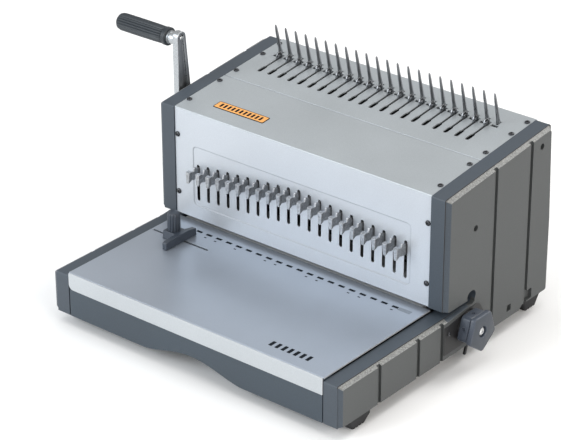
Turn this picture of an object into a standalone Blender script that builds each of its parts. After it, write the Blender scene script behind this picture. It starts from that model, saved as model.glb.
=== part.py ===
"""Comb binding machine: an electric punch with a hand lever that opens the comb.

The model is built in millimetres about the machine's own middle plane (x = 0), with y = 0 on the front
panel, +y towards the back and z = 0 on the table. The empty called machine moves it so that the whole
outline, with the lever on the left and the knob on the right, is centred over the origin.
"""
import math

import bmesh
import bpy

MM = 0.001
GAP = 0.3

# The comb standard sets the pitch of everything that repeats.
PITCH = 14.2875
SLOT_COUNT = 21
TINE_COUNT = 22

# Housing, in x: steel covers, then the flat strip of each cap, then its raised pad.
COVER_X = 175.0
STRIP_X = 192.7
PAD_X = 198.0
PLATE_X = 165.0
PLATE_T = 4.0
SHEET = 1.5

# Housing, in y and z.
FRONT_Y = -176.4
REAR_Y = 188.6
REAR_LOW_Y = 193.0
SKIRT_Z = 14.5
PAD_REAR_Z = 21.0
PAN_Z = 18.0
RIM_Z = 63.7
TRAY_Z = 67.0
STRIP_Z = 47.4
PANEL_Z = 72.1
TOP_Z = 201.4
TOP_REAR_Z = 219.9
SEAM_Y = 85.0
SLOPE = math.atan2(TOP_REAR_Z - TOP_Z, REAR_Y)
THROAT_END_Y = 50.0
THROAT_TOP_Z = 76.0

# Punch: the slots form a shallow chevron, highest in the middle.
SLOT_Z0 = 95.0
SLOT_Z1 = 138.7
SLOT_W = 3.8
CHEVRON = 13.8
TAB_Z = 129.4
PIN_Y = 12.0
PINION_R = 12.0
MODULE = 2.0
PINION_Y = 38.0
PINION_Z = 128.0
BAR_Z0 = 158.0
BAR_Z1 = 174.0

# Comb opener.
LEVER_Y = 49.0
LEVER_Z = 157.0
LEVER_X = -201.0
LEVER_T = 8.0
GRIP_Y = 43.0
GRIP_Z = 258.0
ARM_TIP_Z = 261.5
GRIP_R = 10.3
GRIP_X0 = -219.0
GRIP_X1 = -294.0
OPEN_TRAVEL = 31.0
OPEN_SWING = math.radians(50.0)
SHAFT_R = 6.0
TINE_X0 = -154.07
TINE_Y = 158.4
TINE_LEAN = math.radians(13.8)
TINE_LENGTH = 39.4
HOOK_X0 = -148.6

# Margin knob, back stop and edge guide.
KNOB_Y = 36.0
KNOB_Z = 42.3
KNOB_X0 = 200.5
KNOB_X1 = 220.0
KNOB_R = 23.0
CRANK_R = 7.0
STOP_Y = 24.0
GUIDE_X = -141.4
GUIDE_Y = -43.0

machine = None


# ---------------------------------------------------------------- materials

def material(name, rgb, roughness, metallic):
    """A Principled material in one colour."""
    found = bpy.data.materials.get(name)
    if found:
        return found
    made = bpy.data.materials.new(name)
    made.use_nodes = True
    shader = made.node_tree.nodes["Principled BSDF"]
    shader.inputs["Base Color"].default_value = (*rgb, 1.0)
    shader.inputs["Roughness"].default_value = roughness
    shader.inputs["Metallic"].default_value = metallic
    return made


LOOKS = {
    "silver_paint": ((0.53, 0.57, 0.60), 0.38, 0.55),
    "tray_steel": ((0.46, 0.50, 0.55), 0.40, 0.60),
    "slate_plastic": ((0.10, 0.12, 0.14), 0.55, 0.0),
    "dark_plastic": ((0.04, 0.05, 0.06), 0.50, 0.0),
    "rubber": ((0.02, 0.02, 0.022), 0.80, 0.0),
    "bare_steel": ((0.56, 0.57, 0.58), 0.30, 1.0),
    "die_zinc": ((0.36, 0.37, 0.38), 0.35, 1.0),
    "cast_aluminium": ((0.74, 0.75, 0.76), 0.32, 1.0),
    "motor_black": ((0.03, 0.03, 0.03), 0.45, 0.3),
}


# ---------------------------------------------------------------- mesh helpers

def add_object(name, bm, look, origin=(0.0, 0.0, 0.0)):
    """Turn a bmesh in machine millimetres into an object whose origin is at the given point."""
    bmesh.ops.recalc_face_normals(bm, faces=bm.faces)
    for vert in bm.verts:
        vert.co = [(value - start) * MM for value, start in zip(vert.co, origin)]
    mesh = bpy.data.meshes.new(name)
    bm.to_mesh(mesh)
    bm.free()
    mesh.materials.append(material(look, *LOOKS[look]))
    mesh.shade_smooth()
    mesh.set_sharp_from_angle(angle=math.radians(35.0))
    made = bpy.data.objects.new(name, mesh)
    made.location = [value * MM for value in origin]
    made.parent = machine
    bpy.context.scene.collection.objects.link(made)
    return made


def helper_object(name, bm, owner, operation):
    """A hidden operand that a Boolean modifier on its owner adds or takes away."""
    operand = add_object(name, bm, "bare_steel")
    operand.hide_render = True
    operand.display_type = "WIRE"
    modifier = owner.modifiers.new(name, "BOOLEAN")
    modifier.operation = operation
    modifier.object = operand


def cut(owner, bm):
    helper_object(f"{owner.name}_cut_{len(owner.modifiers)}", bm, owner, "DIFFERENCE")


def join(owner, bm):
    helper_object(f"{owner.name}_add_{len(owner.modifiers)}", bm, owner, "UNION")


def place(axis, first, second, along):
    """A point from its two outline values and its distance along an axis."""
    if axis == "X":
        return (along, first, second)
    if axis == "Y":
        return (first, along, second)
    return (first, second, along)


def loft(bm, rings):
    """A closed solid through rings of equal point counts."""
    rows = [[bm.verts.new(point) for point in ring] for ring in rings]
    count = len(rows[0])
    for low, high in zip(rows, rows[1:]):
        for i in range(count):
            j = (i + 1) % count
            bm.faces.new((low[i], low[j], high[j], high[i]))
    bm.faces.new(rows[0][::-1])
    bm.faces.new(rows[-1])


def prism(bm, outline, axis, low, high):
    """Extrude a flat outline along an axis."""
    loft(bm, [[place(axis, a, b, along) for a, b in outline] for along in (low, high)])


def block(bm, x0, x1, y0, y1, z0, z1):
    prism(bm, [(x0, y0), (x1, y0), (x1, y1), (x0, y1)], "Z", z0, z1)


def circle(radius, steps, first=0.0, second=0.0, start=0.0):
    """Points of a circle about (first, second)."""
    turn = 2.0 * math.pi / steps
    return [(first + radius * math.cos(start + i * turn), second + radius * math.sin(start + i * turn))
            for i in range(steps)]


def lathe(bm, profile, axis, first, second, steps=24, flute=0.0, flutes=0):
    """Turn (radius, along) pairs about an axis, with optional shallow flutes."""
    rings = []
    for radius, along in profile:
        ring = []
        for i in range(steps):
            angle = 2.0 * math.pi * i / steps
            reach = radius - flute * (0.5 - 0.5 * math.cos(flutes * angle)) if radius > flute * 4 else radius
            ring.append(place(axis, first + reach * math.cos(angle), second + reach * math.sin(angle), along))
        rings.append(ring)
    loft(bm, rings)


def rounded(corners, steps=5):
    """An outline from (a, b, radius) corners, with round ones as arcs."""
    outline = []
    count = len(corners)
    for i, (a, b, radius) in enumerate(corners):
        if radius == 0.0:
            outline.append((a, b))
            continue
        before = corners[i - 1]
        after = corners[(i + 1) % count]
        back = math.atan2(before[1] - b, before[0] - a)
        ahead = math.atan2(after[1] - b, after[0] - a)
        half = abs(math.remainder(ahead - back, 2.0 * math.pi)) / 2.0
        reach = radius / math.tan(half)
        middle = back + math.remainder(ahead - back, 2.0 * math.pi) / 2.0
        centre_a = a + radius / math.sin(half) * math.cos(middle)
        centre_b = b + radius / math.sin(half) * math.sin(middle)
        start = math.atan2(b + reach * math.sin(back) - centre_b, a + reach * math.cos(back) - centre_a)
        end = math.atan2(b + reach * math.sin(ahead) - centre_b, a + reach * math.cos(ahead) - centre_a)
        sweep = math.remainder(end - start, 2.0 * math.pi)
        for k in range(steps + 1):
            angle = start + sweep * k / steps
            outline.append((centre_a + radius * math.cos(angle), centre_b + radius * math.sin(angle)))
    return outline


def stadium(a0, a1, b0, b1, steps=2):
    """An upright or lying slot with round ends, from its box."""
    radius = min(a1 - a0, b1 - b0) / 2.0
    slightly_less = radius * 0.999
    corners = [(a0, b0, slightly_less), (a1, b0, slightly_less), (a1, b1, slightly_less), (a0, b1, slightly_less)]
    return rounded(corners, steps)


# ---------------------------------------------------------------- places on the sloping top

def top_z(y):
    """Height of the top covers' outer face."""
    return TOP_Z + y * math.tan(SLOPE)


def on_top(y, height):
    """The (y, z) point that stands off the sloping top, square to it, above the point at y."""
    return (y - height * math.sin(SLOPE), top_z(y) + height * math.cos(SLOPE))


def on_top_box(y0, y1, low, high):
    """A four-cornered outline parallel to the sloping top."""
    return [on_top(y0, low), on_top(y1, low), on_top(y1, high), on_top(y0, high)]


def slot_x(index):
    return (index - (SLOT_COUNT - 1) / 2.0) * PITCH


def slot_rise(index):
    """How much higher than the end ones a slot sits."""
    middle = (SLOT_COUNT - 1) / 2.0
    return CHEVRON * (1.0 - abs(index - middle) / middle)


# ---------------------------------------------------------------- housing

def cap_outline(inset):
    """Side view of a cap; the pad's outer face is the same outline drawn in by the inset."""
    front = FRONT_Y + 0.6 * inset
    rear = REAR_LOW_Y - 1.2 * inset
    rear_top = REAR_Y - 1.2 * inset
    drop = 0.64 * inset
    return rounded([
        (front, SKIRT_Z + 0.5 * inset, 1.0),
        (REAR_LOW_Y - 58.0, SKIRT_Z + 0.5 * inset, 0.0),
        (REAR_LOW_Y - 52.0, PAD_REAR_Z + 0.2 * inset, 0.0),
        (rear, PAD_REAR_Z + 0.2 * inset, 2.5),
        (rear, 110.0, 0.0),
        (rear_top, TOP_REAR_Z - drop, 4.0),
        (-1.5 + 0.8 * inset, TOP_Z - drop, 2.0),
        (-1.5 + 0.8 * inset, PANEL_Z - 1.0, 1.5),
        (THROAT_END_Y - 6.0, PANEL_Z - 1.0, 0.0),
        (THROAT_END_Y - 6.0, THROAT_TOP_Z, 0.0),
        (THROAT_END_Y, THROAT_TOP_Z - 4.0, 0.0),
        (THROAT_END_Y, RIM_Z + 2.0, 0.0),
        (THROAT_END_Y - 4.0, RIM_Z, 0.0),
        (15.0, RIM_Z, 0.0),
        (2.0, RIM_Z - drop, 0.0),
        (front, RIM_Z - drop, 2.0),
    ])


def side_cap(side):
    """Moulded side cover: a flat strip round a raised pad, hollow towards the machine."""
    bm = bmesh.new()
    plain = cap_outline(0.0)
    raised = cap_outline(PAD_X - STRIP_X)
    rings = []
    for x, outline in ((COVER_X + GAP, plain), (STRIP_X, plain), (PAD_X, raised)):
        rings.append([(side * x, y, z) for y, z in outline])
    loft(bm, rings)
    cap = add_object("right_cap" if side > 0 else "left_cap", bm, "slate_plastic")
    hollow = bmesh.new()
    lower = [(FRONT_Y + 12.0, 23.0), (REAR_Y - 12.0, 27.0), (REAR_Y - 12.0, 57.0), (FRONT_Y + 12.0, 57.0)]
    upper = [(THROAT_END_Y + 6.0, 54.0), (REAR_Y - 12.0, 54.0), (REAR_Y - 12.0, 204.0), (12.0, 190.0),
             (12.0, 82.0), (THROAT_END_Y + 6.0, 82.0)]
    inner = sorted((side * (COVER_X - 5.0), side * (PAD_X - 5.5)))
    prism(hollow, lower, "X", *inner)
    cut(cap, hollow)
    hollow = bmesh.new()
    prism(hollow, upper, "X", *inner)
    cut(cap, hollow)
    grooves = bmesh.new()
    depth = sorted((side * (PAD_X - 2.5), side * (PAD_X + 5.0)))
    for y in (-113.6, -48.0, -7.0):
        block(grooves, *depth, y - 2.8, y + 2.8, SKIRT_Z - 5.0, RIM_Z + 1.0)
    for y in (82.2, 146.6):
        block(grooves, *depth, y - 2.8, y + 2.8, SKIRT_Z - 5.0, top_z(y) + 1.0)
    cut(cap, grooves)
    bore = bmesh.new()
    reach = sorted((side * (COVER_X - 5.0), side * (PAD_X + 5.0)))
    if side < 0:
        prism(bore, circle(SHAFT_R + 1.0, 24, LEVER_Y, LEVER_Z), "X", *reach)
    else:
        prism(bore, circle(5.0, 24, KNOB_Y, KNOB_Z), "X", *reach)
    cut(cap, bore)
    return cap


def side_plate(side):
    """Inner steel plate that carries the shafts; open at the front where the paper passes."""
    bm = bmesh.new()
    outline = [(4.0, PAN_Z + 2.3), (183.0, PAN_Z + 2.3), (183.0, top_z(183.0) - 8.0), (4.0, top_z(4.0) - 8.0),
               (4.0, THROAT_TOP_Z), (THROAT_END_Y, THROAT_TOP_Z), (THROAT_END_Y, RIM_Z - 2.0), (4.0, RIM_Z - 2.0)]
    span = sorted((side * PLATE_X, side * (PLATE_X + PLATE_T)))
    prism(bm, outline, "X", *span)
    plate = add_object("side_plate_right" if side > 0 else "side_plate_left", bm, "bare_steel")
    bores = bmesh.new()
    reach = (span[0] - 5.0, span[1] + 5.0)
    prism(bores, circle(SHAFT_R + GAP, 24, LEVER_Y, LEVER_Z), "X", *reach)
    prism(bores, circle(SHAFT_R + GAP, 24, PINION_Y, PINION_Z), "X", *reach)
    prism(bores, circle(4.0 + GAP, 24, KNOB_Y, KNOB_Z), "X", *reach)
    prism(bores, rounded([(75.0, 70.0, 6.0), (150.0, 70.0, 6.0), (150.0, 170.0, 6.0), (75.0, 170.0, 6.0)]),
          "X", *reach)
    cut(plate, bores)
    return plate


def base_pan():
    """Folded steel floor with turned-up front edge."""
    bm = bmesh.new()
    outline = [(-164.0, PAN_Z), (182.0, PAN_Z), (182.0, PAN_Z + 2.0), (-162.0, PAN_Z + 2.0), (-162.0, 40.0),
               (-164.0, 40.0)]
    prism(bm, outline, "X", -(COVER_X - 2.0), COVER_X - 2.0)
    return add_object("base_pan", bm, "bare_steel")


def front_skirt():
    """Moulded front under the tray, with an arched hand hold."""
    bm = bmesh.new()
    outline = [(FRONT_Y, SKIRT_Z), (FRONT_Y + 3.5, SKIRT_Z), (FRONT_Y + 3.5, TRAY_Z - 6.0),
               (FRONT_Y + 16.0, TRAY_Z - 6.0), (FRONT_Y + 16.0, TRAY_Z - SHEET - GAP),
               (FRONT_Y + 1.2, TRAY_Z - SHEET - GAP), (FRONT_Y + 1.2, STRIP_Z - GAP), (FRONT_Y, STRIP_Z - GAP)]
    half = COVER_X - 1.2
    prism(bm, outline, "X", -half, half)
    skirt = add_object("front_skirt", bm, "slate_plastic")
    arch = bmesh.new()
    half_width = 68.0
    rise = 12.5
    points = [(-half_width * 1.1, SKIRT_Z - 5.0)]
    steps = 16
    for i in range(steps + 1):
        x = -half_width + 2.0 * half_width * i / steps
        points.append((x, SKIRT_Z + rise * (0.5 + 0.5 * math.cos(math.pi * x / half_width)) ** 0.8))
    points.append((half_width * 1.1, SKIRT_Z - 5.0))
    prism(arch, points, "Y", FRONT_Y - 5.0, FRONT_Y + 10.0)
    cut(skirt, arch)
    return skirt


def tray_plate():
    """Folded steel tray: flat top and a turned-down front strip, with the edge guide's slot."""
    bm = bmesh.new()
    outline = rounded([(FRONT_Y - 0.6, STRIP_Z, 0.0), (FRONT_Y + 0.9, STRIP_Z, 0.0),
                       (FRONT_Y + 0.9, TRAY_Z - SHEET, 0.0), (2.5, TRAY_Z - SHEET, 0.0), (2.5, TRAY_Z, 0.0),
                       (FRONT_Y - 0.6, TRAY_Z, 1.4)], 4)
    prism(bm, outline, "X", -(COVER_X - 0.5), COVER_X - 0.5)
    tray = add_object("tray_plate", bm, "tray_steel")
    slot = bmesh.new()
    prism(slot, stadium(-172.3, -91.9, GUIDE_Y - 1.5, GUIDE_Y + 1.5), "Z", TRAY_Z - 5.0, TRAY_Z + 5.0)
    cut(tray, slot)
    return tray


def front_panel():
    """Steel front with 21 round-ended slots for the die tabs."""
    bm = bmesh.new()
    half = COVER_X
    prism(bm, [(0.0, PANEL_Z), (SHEET, PANEL_Z), (SHEET, TOP_Z - 2.0), (0.0, TOP_Z - 2.0)], "X", -half, half)
    panel = add_object("front_panel", bm, "silver_paint")
    slots = bmesh.new()
    for i in range(SLOT_COUNT):
        x = slot_x(i)
        rise = slot_rise(i)
        prism(slots, stadium(x - SLOT_W / 2, x + SLOT_W / 2, SLOT_Z0 + rise, SLOT_Z1 + rise), "Y", -5.0, 8.0)
    cut(panel, slots)
    return panel


def top_front_cover():
    """Front half of the top, folded down at the bend and at the seam."""
    bm = bmesh.new()
    outline = [(0.0, TOP_Z - 1.6), on_top(0.0, 0.0), on_top(SEAM_Y - 0.2, 0.0), on_top(SEAM_Y - 0.2, -3.2),
               on_top(SEAM_Y - 1.7, -3.2), on_top(SEAM_Y - 1.7, -SHEET), on_top(2.0, -SHEET), (2.0, TOP_Z - 1.6)]
    prism(bm, outline, "X", -COVER_X, COVER_X)
    return add_object("top_front_cover", bm, "silver_paint")


def top_rear_cover():
    """Rear half of the top, with the hook slots, the tine holes and a turned-down rear edge."""
    bm = bmesh.new()
    rear = REAR_Y - 0.5
    outline = [on_top(SEAM_Y + 0.2, 0.0), on_top(rear, 0.0), on_top(rear, -14.0), on_top(rear - SHEET, -14.0),
               on_top(rear - SHEET, -SHEET), on_top(SEAM_Y + 0.2, -SHEET)]
    prism(bm, outline, "X", -COVER_X, COVER_X)
    cover = add_object("top_rear_cover", bm, "silver_paint")
    for y0, y1, half in ((124.0, 157.0, 1.0), (111.5, 125.0, 1.6)):
        openings = bmesh.new()
        for i in range(SLOT_COUNT):
            x = HOOK_X0 + i * PITCH
            prism(openings, on_top_box(y0, y1, -6.0, 4.0), "X", x - half, x + half)
        cut(cover, openings)
    holes = bmesh.new()
    for i in range(TINE_COUNT):
        x = TINE_X0 + i * PITCH
        prism(holes, on_top_box(TINE_Y - 3.4, TINE_Y + 4.4, -6.0, 4.0), "X", x - 1.5, x + 1.5)
    cut(cover, holes)
    return cover


def rear_cover():
    """Flat rear sheet with vents and the electrical cut-outs, open below for the chip drawer."""
    bm = bmesh.new()
    block(bm, -172.0, 172.0, 184.0, 185.5, 43.0, 212.0)
    cover = add_object("rear_cover", bm, "silver_paint")
    vents = bmesh.new()
    for i in range(9):
        x = -60.0 + i * 12.0
        prism(vents, stadium(x - 2.0, x + 2.0, 130.0, 170.0), "Y", 180.0, 190.0)
    block(vents, 102.0, 130.0, 180.0, 190.0, 68.0, 88.0)
    block(vents, 140.0, 154.0, 180.0, 190.0, 67.0, 89.0)
    prism(vents, circle(6.5, 20, -130.0, 78.0), "Y", 180.0, 190.0)
    cut(cover, vents)
    return cover


def feet():
    """Six tapered feet, three under each side; the middle ones stand further in."""
    rows = (("front", 185.5, -138.5, SKIRT_Z), ("mid", 175.0, 3.0, SKIRT_Z), ("rear", 181.5, 174.0, PAD_REAR_Z))
    for side, side_name in ((-1, "left"), (1, "right")):
        for row_name, across, y, top in rows:
            bm = bmesh.new()
            x = side * across
            wide = [(x - 8.0, y - 17.0), (x + 8.0, y - 17.0), (x + 8.0, y + 17.0), (x - 8.0, y + 17.0)]
            low = [(x - 6.0, y - 10.0), (x + 6.0, y - 10.0), (x + 6.0, y + 10.0), (x - 6.0, y + 10.0)]
            rings = [[(a, b, 0.0) for a, b in low], [(a, b, top - 5.0) for a, b in wide],
                     [(a, b, top - GAP) for a, b in wide]]
            loft(bm, rings)
            add_object(f"foot_{row_name}_{side_name}", bm, "rubber")


# ---------------------------------------------------------------- punch

def gear_outline(teeth, backlash, steps=2):
    """Involute spur gear outline centred on (0, 0), with a tooth space on the side of angle pi."""
    pitch_r = MODULE * teeth / 2.0
    base_r = pitch_r * math.cos(math.radians(20.0))
    tip_r = pitch_r + 0.9 * MODULE
    root_r = pitch_r - 1.2 * MODULE
    half_angle = (math.pi * MODULE / 2.0 - backlash) / 2.0 / pitch_r

    def roll(radius):
        ratio = max(radius / base_r, 1.0)
        return math.sqrt(ratio * ratio - 1.0) - math.acos(1.0 / ratio)

    outline = []
    for tooth in range(teeth):
        centre = math.pi + (tooth + 0.5) * 2.0 * math.pi / teeth
        flank = [max(base_r, root_r) + (tip_r - max(base_r, root_r)) * k / steps for k in range(steps + 1)]
        rising = [(radius, centre - half_angle - roll(pitch_r) + roll(radius)) for radius in flank]
        falling = [(radius, 2.0 * centre - angle) for radius, angle in rising[::-1]]
        foot_a = (root_r, rising[0][1])
        foot_b = (root_r, falling[-1][1])
        for radius, angle in [foot_a] + rising + falling + [foot_b]:
            outline.append((radius * math.cos(angle), radius * math.sin(angle)))
    return outline


def rack_outline(backlash):
    """Rack whose teeth face +y and mesh with the pinion at rest."""
    pitch_y = PINION_Y - PINION_R
    step = math.pi * MODULE
    points = []
    first, last = -1, 5
    for tooth in range(first, last + 1):
        z = PINION_Z + tooth * step
        half_pitch = (step / 2.0 - backlash) / 2.0
        flare = MODULE * math.tan(math.radians(20.0))
        points.append((pitch_y - MODULE, z - half_pitch - flare))
        points.append((pitch_y + 0.85 * MODULE, z - half_pitch + 0.85 * flare))
        points.append((pitch_y + 0.85 * MODULE, z + half_pitch - 0.85 * flare))
        points.append((pitch_y - MODULE, z + half_pitch + flare))
    bottom = PINION_Z + (first - 0.5) * step
    top = PINION_Z + (last + 0.5) * step
    back = pitch_y - 10.0
    return [(back, bottom), (pitch_y - MODULE, bottom)] + points + [(pitch_y - MODULE, top), (back, top)]


def punch_bar():
    """Pressure bar with its 21 pins and the rack at each end, in one piece."""
    bm = bmesh.new()
    block(bm, -160.0, 160.0, 7.0, 25.0, BAR_Z0, BAR_Z1)
    bar = add_object("punch_bar", bm, "bare_steel", (0.0, PIN_Y, BAR_Z0))
    pins = bmesh.new()
    for i in range(SLOT_COUNT):
        x = slot_x(i)
        block(pins, x - 4.0, x + 4.0, PIN_Y - 1.5, PIN_Y + 1.5, THROAT_TOP_Z + slot_rise(i), BAR_Z0 + 4.0)
    join(bar, pins)
    racks = bmesh.new()
    for side in (-1, 1):
        prism(racks, rack_outline(0.3), "X", *sorted((side * 149.0, side * 157.0)))
    join(bar, racks)
    return bar


def die_blocks():
    """The guide above the paper and the die plate below it, each with 21 oblong holes."""
    for name, y0, y1, z0, z1, margin in (("punch_guide", 4.0, 34.0, 73.0, 92.0, 0.35),
                                         ("die_plate", 3.0, 34.0, 55.0, TRAY_Z - 0.1, 0.3)):
        bm = bmesh.new()
        block(bm, -147.5, 147.5, y0, y1, z0, z1)
        made = add_object(name, bm, "bare_steel")
        holes = bmesh.new()
        for i in range(SLOT_COUNT):
            x = slot_x(i)
            block(holes, x - 4.0 - margin, x + 4.0 + margin, PIN_Y - 1.5 - margin, PIN_Y + 1.5 + margin,
                  z0 - 3.0, z1 + 3.0)
        cut(made, holes)
        ends = bmesh.new()
        for side in (-1, 1):
            block(ends, *sorted((side * 146.0, side * (PLATE_X - GAP))), y0, 10.0, z0, min(z1, 80.0))
        join(made, ends)


def die_tab(index):
    """Zinc tab that engages a pin: a thin arm through the slot and a flared head in front of it."""
    x = slot_x(index)
    z = TAB_Z + slot_rise(index)
    sections = [
        # y, half width at top, half width at bottom, top, bottom
        (10.0, 1.0, 1.0, 6.5, -6.0),
        (-3.0, 1.0, 1.0, 6.5, -6.0),
        (-3.4, 1.0, 1.0, 8.6, -6.0),
        (-6.6, 1.0, 1.0, 8.6, -6.0),
        (-7.0, 1.0, 1.0, 4.6, -5.0),
        (-11.0, 1.1, 1.1, 4.4, -3.6),
        (-12.6, 2.9, 2.2, 6.9, -3.6),
        (-17.4, 2.9, 1.7, 6.5, -7.4),
    ]
    rings = []
    for y, half_top, half_low, high, low in sections:
        rings.append([(x - half_low, y, z + low), (x + half_low, y, z + low),
                      (x + half_top, y, z + high), (x - half_top, y, z + high)])
    bm = bmesh.new()
    loft(bm, rings)
    return add_object(f"die_tab_{index + 1:02d}", bm, "die_zinc", (x, 0.0, z))


def drive_train():
    """Drive shaft with a pinion at each end, the gearbox that turns it and the motor."""
    axis_point = (0.0, PINION_Y, PINION_Z)
    bm = bmesh.new()
    prism(bm, circle(SHAFT_R, 24, PINION_Y, PINION_Z), "X", -172.0, 172.0)
    add_object("drive_shaft", bm, "bare_steel", axis_point)
    outline = [(PINION_Y + y, PINION_Z + z) for y, z in gear_outline(12, 0.3)]
    for side, name in ((-1, "drive_pinion_left"), (1, "drive_pinion_right")):
        bm = bmesh.new()
        span = sorted((side * 149.5, side * 156.5))
        prism(bm, outline, "X", *span)
        pinion = add_object(name, bm, "bare_steel", axis_point)
        bore = bmesh.new()
        prism(bore, circle(SHAFT_R + GAP, 24, PINION_Y, PINION_Z), "X", span[0] - 5.0, span[1] + 5.0)
        cut(pinion, bore)
    bm = bmesh.new()
    casing = rounded([(27.0, 98.0, 6.0), (150.0, 70.0, 8.0), (150.0, 132.0, 8.0), (60.0, 143.0, 6.0),
                      (27.0, 143.0, 6.0)], 4)
    prism(bm, casing, "X", 104.0, 138.0)
    box = add_object("gearbox", bm, "cast_aluminium")
    bore = bmesh.new()
    prism(bore, circle(SHAFT_R + GAP, 24, PINION_Y, PINION_Z), "X", 90.0, 150.0)
    cut(box, bore)
    bm = bmesh.new()
    lathe(bm, [(12.0, -42.0), (12.0, -36.0), (27.0, -34.0), (29.0, -31.0), (29.0, 92.0), (24.0, 95.0),
               (24.0, 103.7)], "X", 115.0, 100.0, 32)
    add_object("gear_motor", bm, "motor_black")


def chip_drawer():
    """Shallow drawer under the die, pulled out at the back."""
    bm = bmesh.new()
    block(bm, -140.0, 140.0, 2.0, 183.0, PAN_Z + 2.3, 34.0)
    drawer = add_object("chip_drawer", bm, "dark_plastic", (0.0, 183.0, PAN_Z + 2.3))
    front = bmesh.new()
    block(front, -145.0, 145.0, 182.0, 187.5, PAN_Z + 2.8, 41.0)
    join(drawer, front)
    hollow = bmesh.new()
    block(hollow, -138.0, 138.0, 4.0, 181.0, PAN_Z + 4.3, 60.0)
    cut(drawer, hollow)
    pull = bmesh.new()
    prism(pull, stadium(-30.0, 30.0, 24.0, 35.0), "Y", 185.0, 195.0)
    cut(drawer, pull)
    return drawer


# ---------------------------------------------------------------- comb opener

def comb_tines():
    """Fixed comb of 22 tines on a bar under the rear cover."""
    bm = bmesh.new()
    prism(bm, on_top_box(153.0, 176.0, -14.0, -8.0), "X", -163.0, 163.0)
    bar = add_object("comb_tines", bm, "bare_steel")
    tines = bmesh.new()
    for i in range(TINE_COUNT):
        x = TINE_X0 + i * PITCH
        rings = []
        for along, half_y, half_x in ((-13.0, 2.0, 1.1), (4.0, 2.0, 1.1), (24.0, 1.5, 1.0), (36.0, 1.0, 0.9),
                                      (TINE_LENGTH, 0.5, 0.7)):
            y = TINE_Y - along * math.sin(TINE_LEAN)
            z = top_z(TINE_Y) + along * math.cos(TINE_LEAN)
            rings.append([(x - half_x, y - half_y, z), (x + half_x, y - half_y, z),
                          (x + half_x, y + half_y, z), (x - half_x, y + half_y, z)])
        loft(tines, rings)
    join(bar, tines)
    return bar


def pin_rest_y():
    """Where along the top the slide's pins sit at rest: half a stroke behind the lever shaft."""
    return LEVER_Y - 4.6 + OPEN_TRAVEL / 2.0 * math.cos(SLOPE)


def fork_height():
    """Distance from the lever shaft to the pins' line."""
    return OPEN_TRAVEL / 2.0 / math.tan(OPEN_SWING / 2.0)


def pin_level():
    """Height of the pins over the sloping top's outer face, which is negative."""
    y_foot = LEVER_Y - 4.6
    depth = (top_z(y_foot) - LEVER_Z) / math.cos(SLOPE)
    return fork_height() - depth


def hook_slide():
    """Plate with 21 hooks that pull the comb open, and a pin at each end for the forks."""
    bm = bmesh.new()
    low = pin_level()
    rest = pin_rest_y()
    prism(bm, on_top_box(rest - 6.0, 149.0, -6.0, -4.0), "X", -151.0, 151.0)
    slide = add_object("hook_slide", bm, "bare_steel", (0.0, *on_top(rest, low)))
    hooks = bmesh.new()
    profile = [on_top(y, height) for y, height in
               ((144.0, -5.0), (148.0, -5.0), (148.2, 3.4), (149.4, 4.6), (152.6, 3.2), (153.6, 4.4),
                (151.2, 7.4), (146.2, 7.6), (144.0, 4.6))]
    for i in range(SLOT_COUNT):
        x = HOOK_X0 + i * PITCH
        prism(hooks, profile, "X", x - 0.6, x + 0.6)
    join(slide, hooks)
    lugs = bmesh.new()
    for side in (-1, 1):
        lug = on_top_box(rest - 5.5, rest + 5.5, low - 5.0, -5.0)
        prism(lugs, lug, "X", *sorted((side * 146.0, side * 151.5)))
    join(slide, lugs)
    pins = bmesh.new()
    for side in (-1, 1):
        prism(pins, circle(3.0, 20, *on_top(rest, low)), "X", *sorted((side * 148.0, side * 163.0)))
    join(slide, pins)
    return slide


def lever_shaft():
    """Shaft across the machine with a fork arm at each end; the forks drive the hook slide."""
    bm = bmesh.new()
    prism(bm, circle(SHAFT_R, 24, LEVER_Y, LEVER_Z), "X", LEVER_X - LEVER_T - 1.0, 172.0)
    shaft = add_object("lever_shaft", bm, "bare_steel", (0.0, LEVER_Y, LEVER_Z))
    arms = bmesh.new()
    lean = SLOPE - OPEN_SWING / 2.0
    reach = fork_height() + 8.0

    def turned(across, along):
        y = LEVER_Y - along * math.sin(lean) + across * math.cos(lean)
        z = LEVER_Z + along * math.cos(lean) + across * math.sin(lean)
        return (y, z)

    half_slot = 3.8
    fork = [(-9.0, -9.0), (9.0, -9.0), (7.5, reach), (half_slot, reach), (half_slot, reach - 16.0),
            (-half_slot, reach - 16.0), (-half_slot, reach), (-7.5, reach)]
    for side in (-1, 1):
        prism(arms, [turned(*point) for point in fork], "X", *sorted((side * 156.0, side * 160.0)))
    join(shaft, arms)
    return shaft


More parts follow.
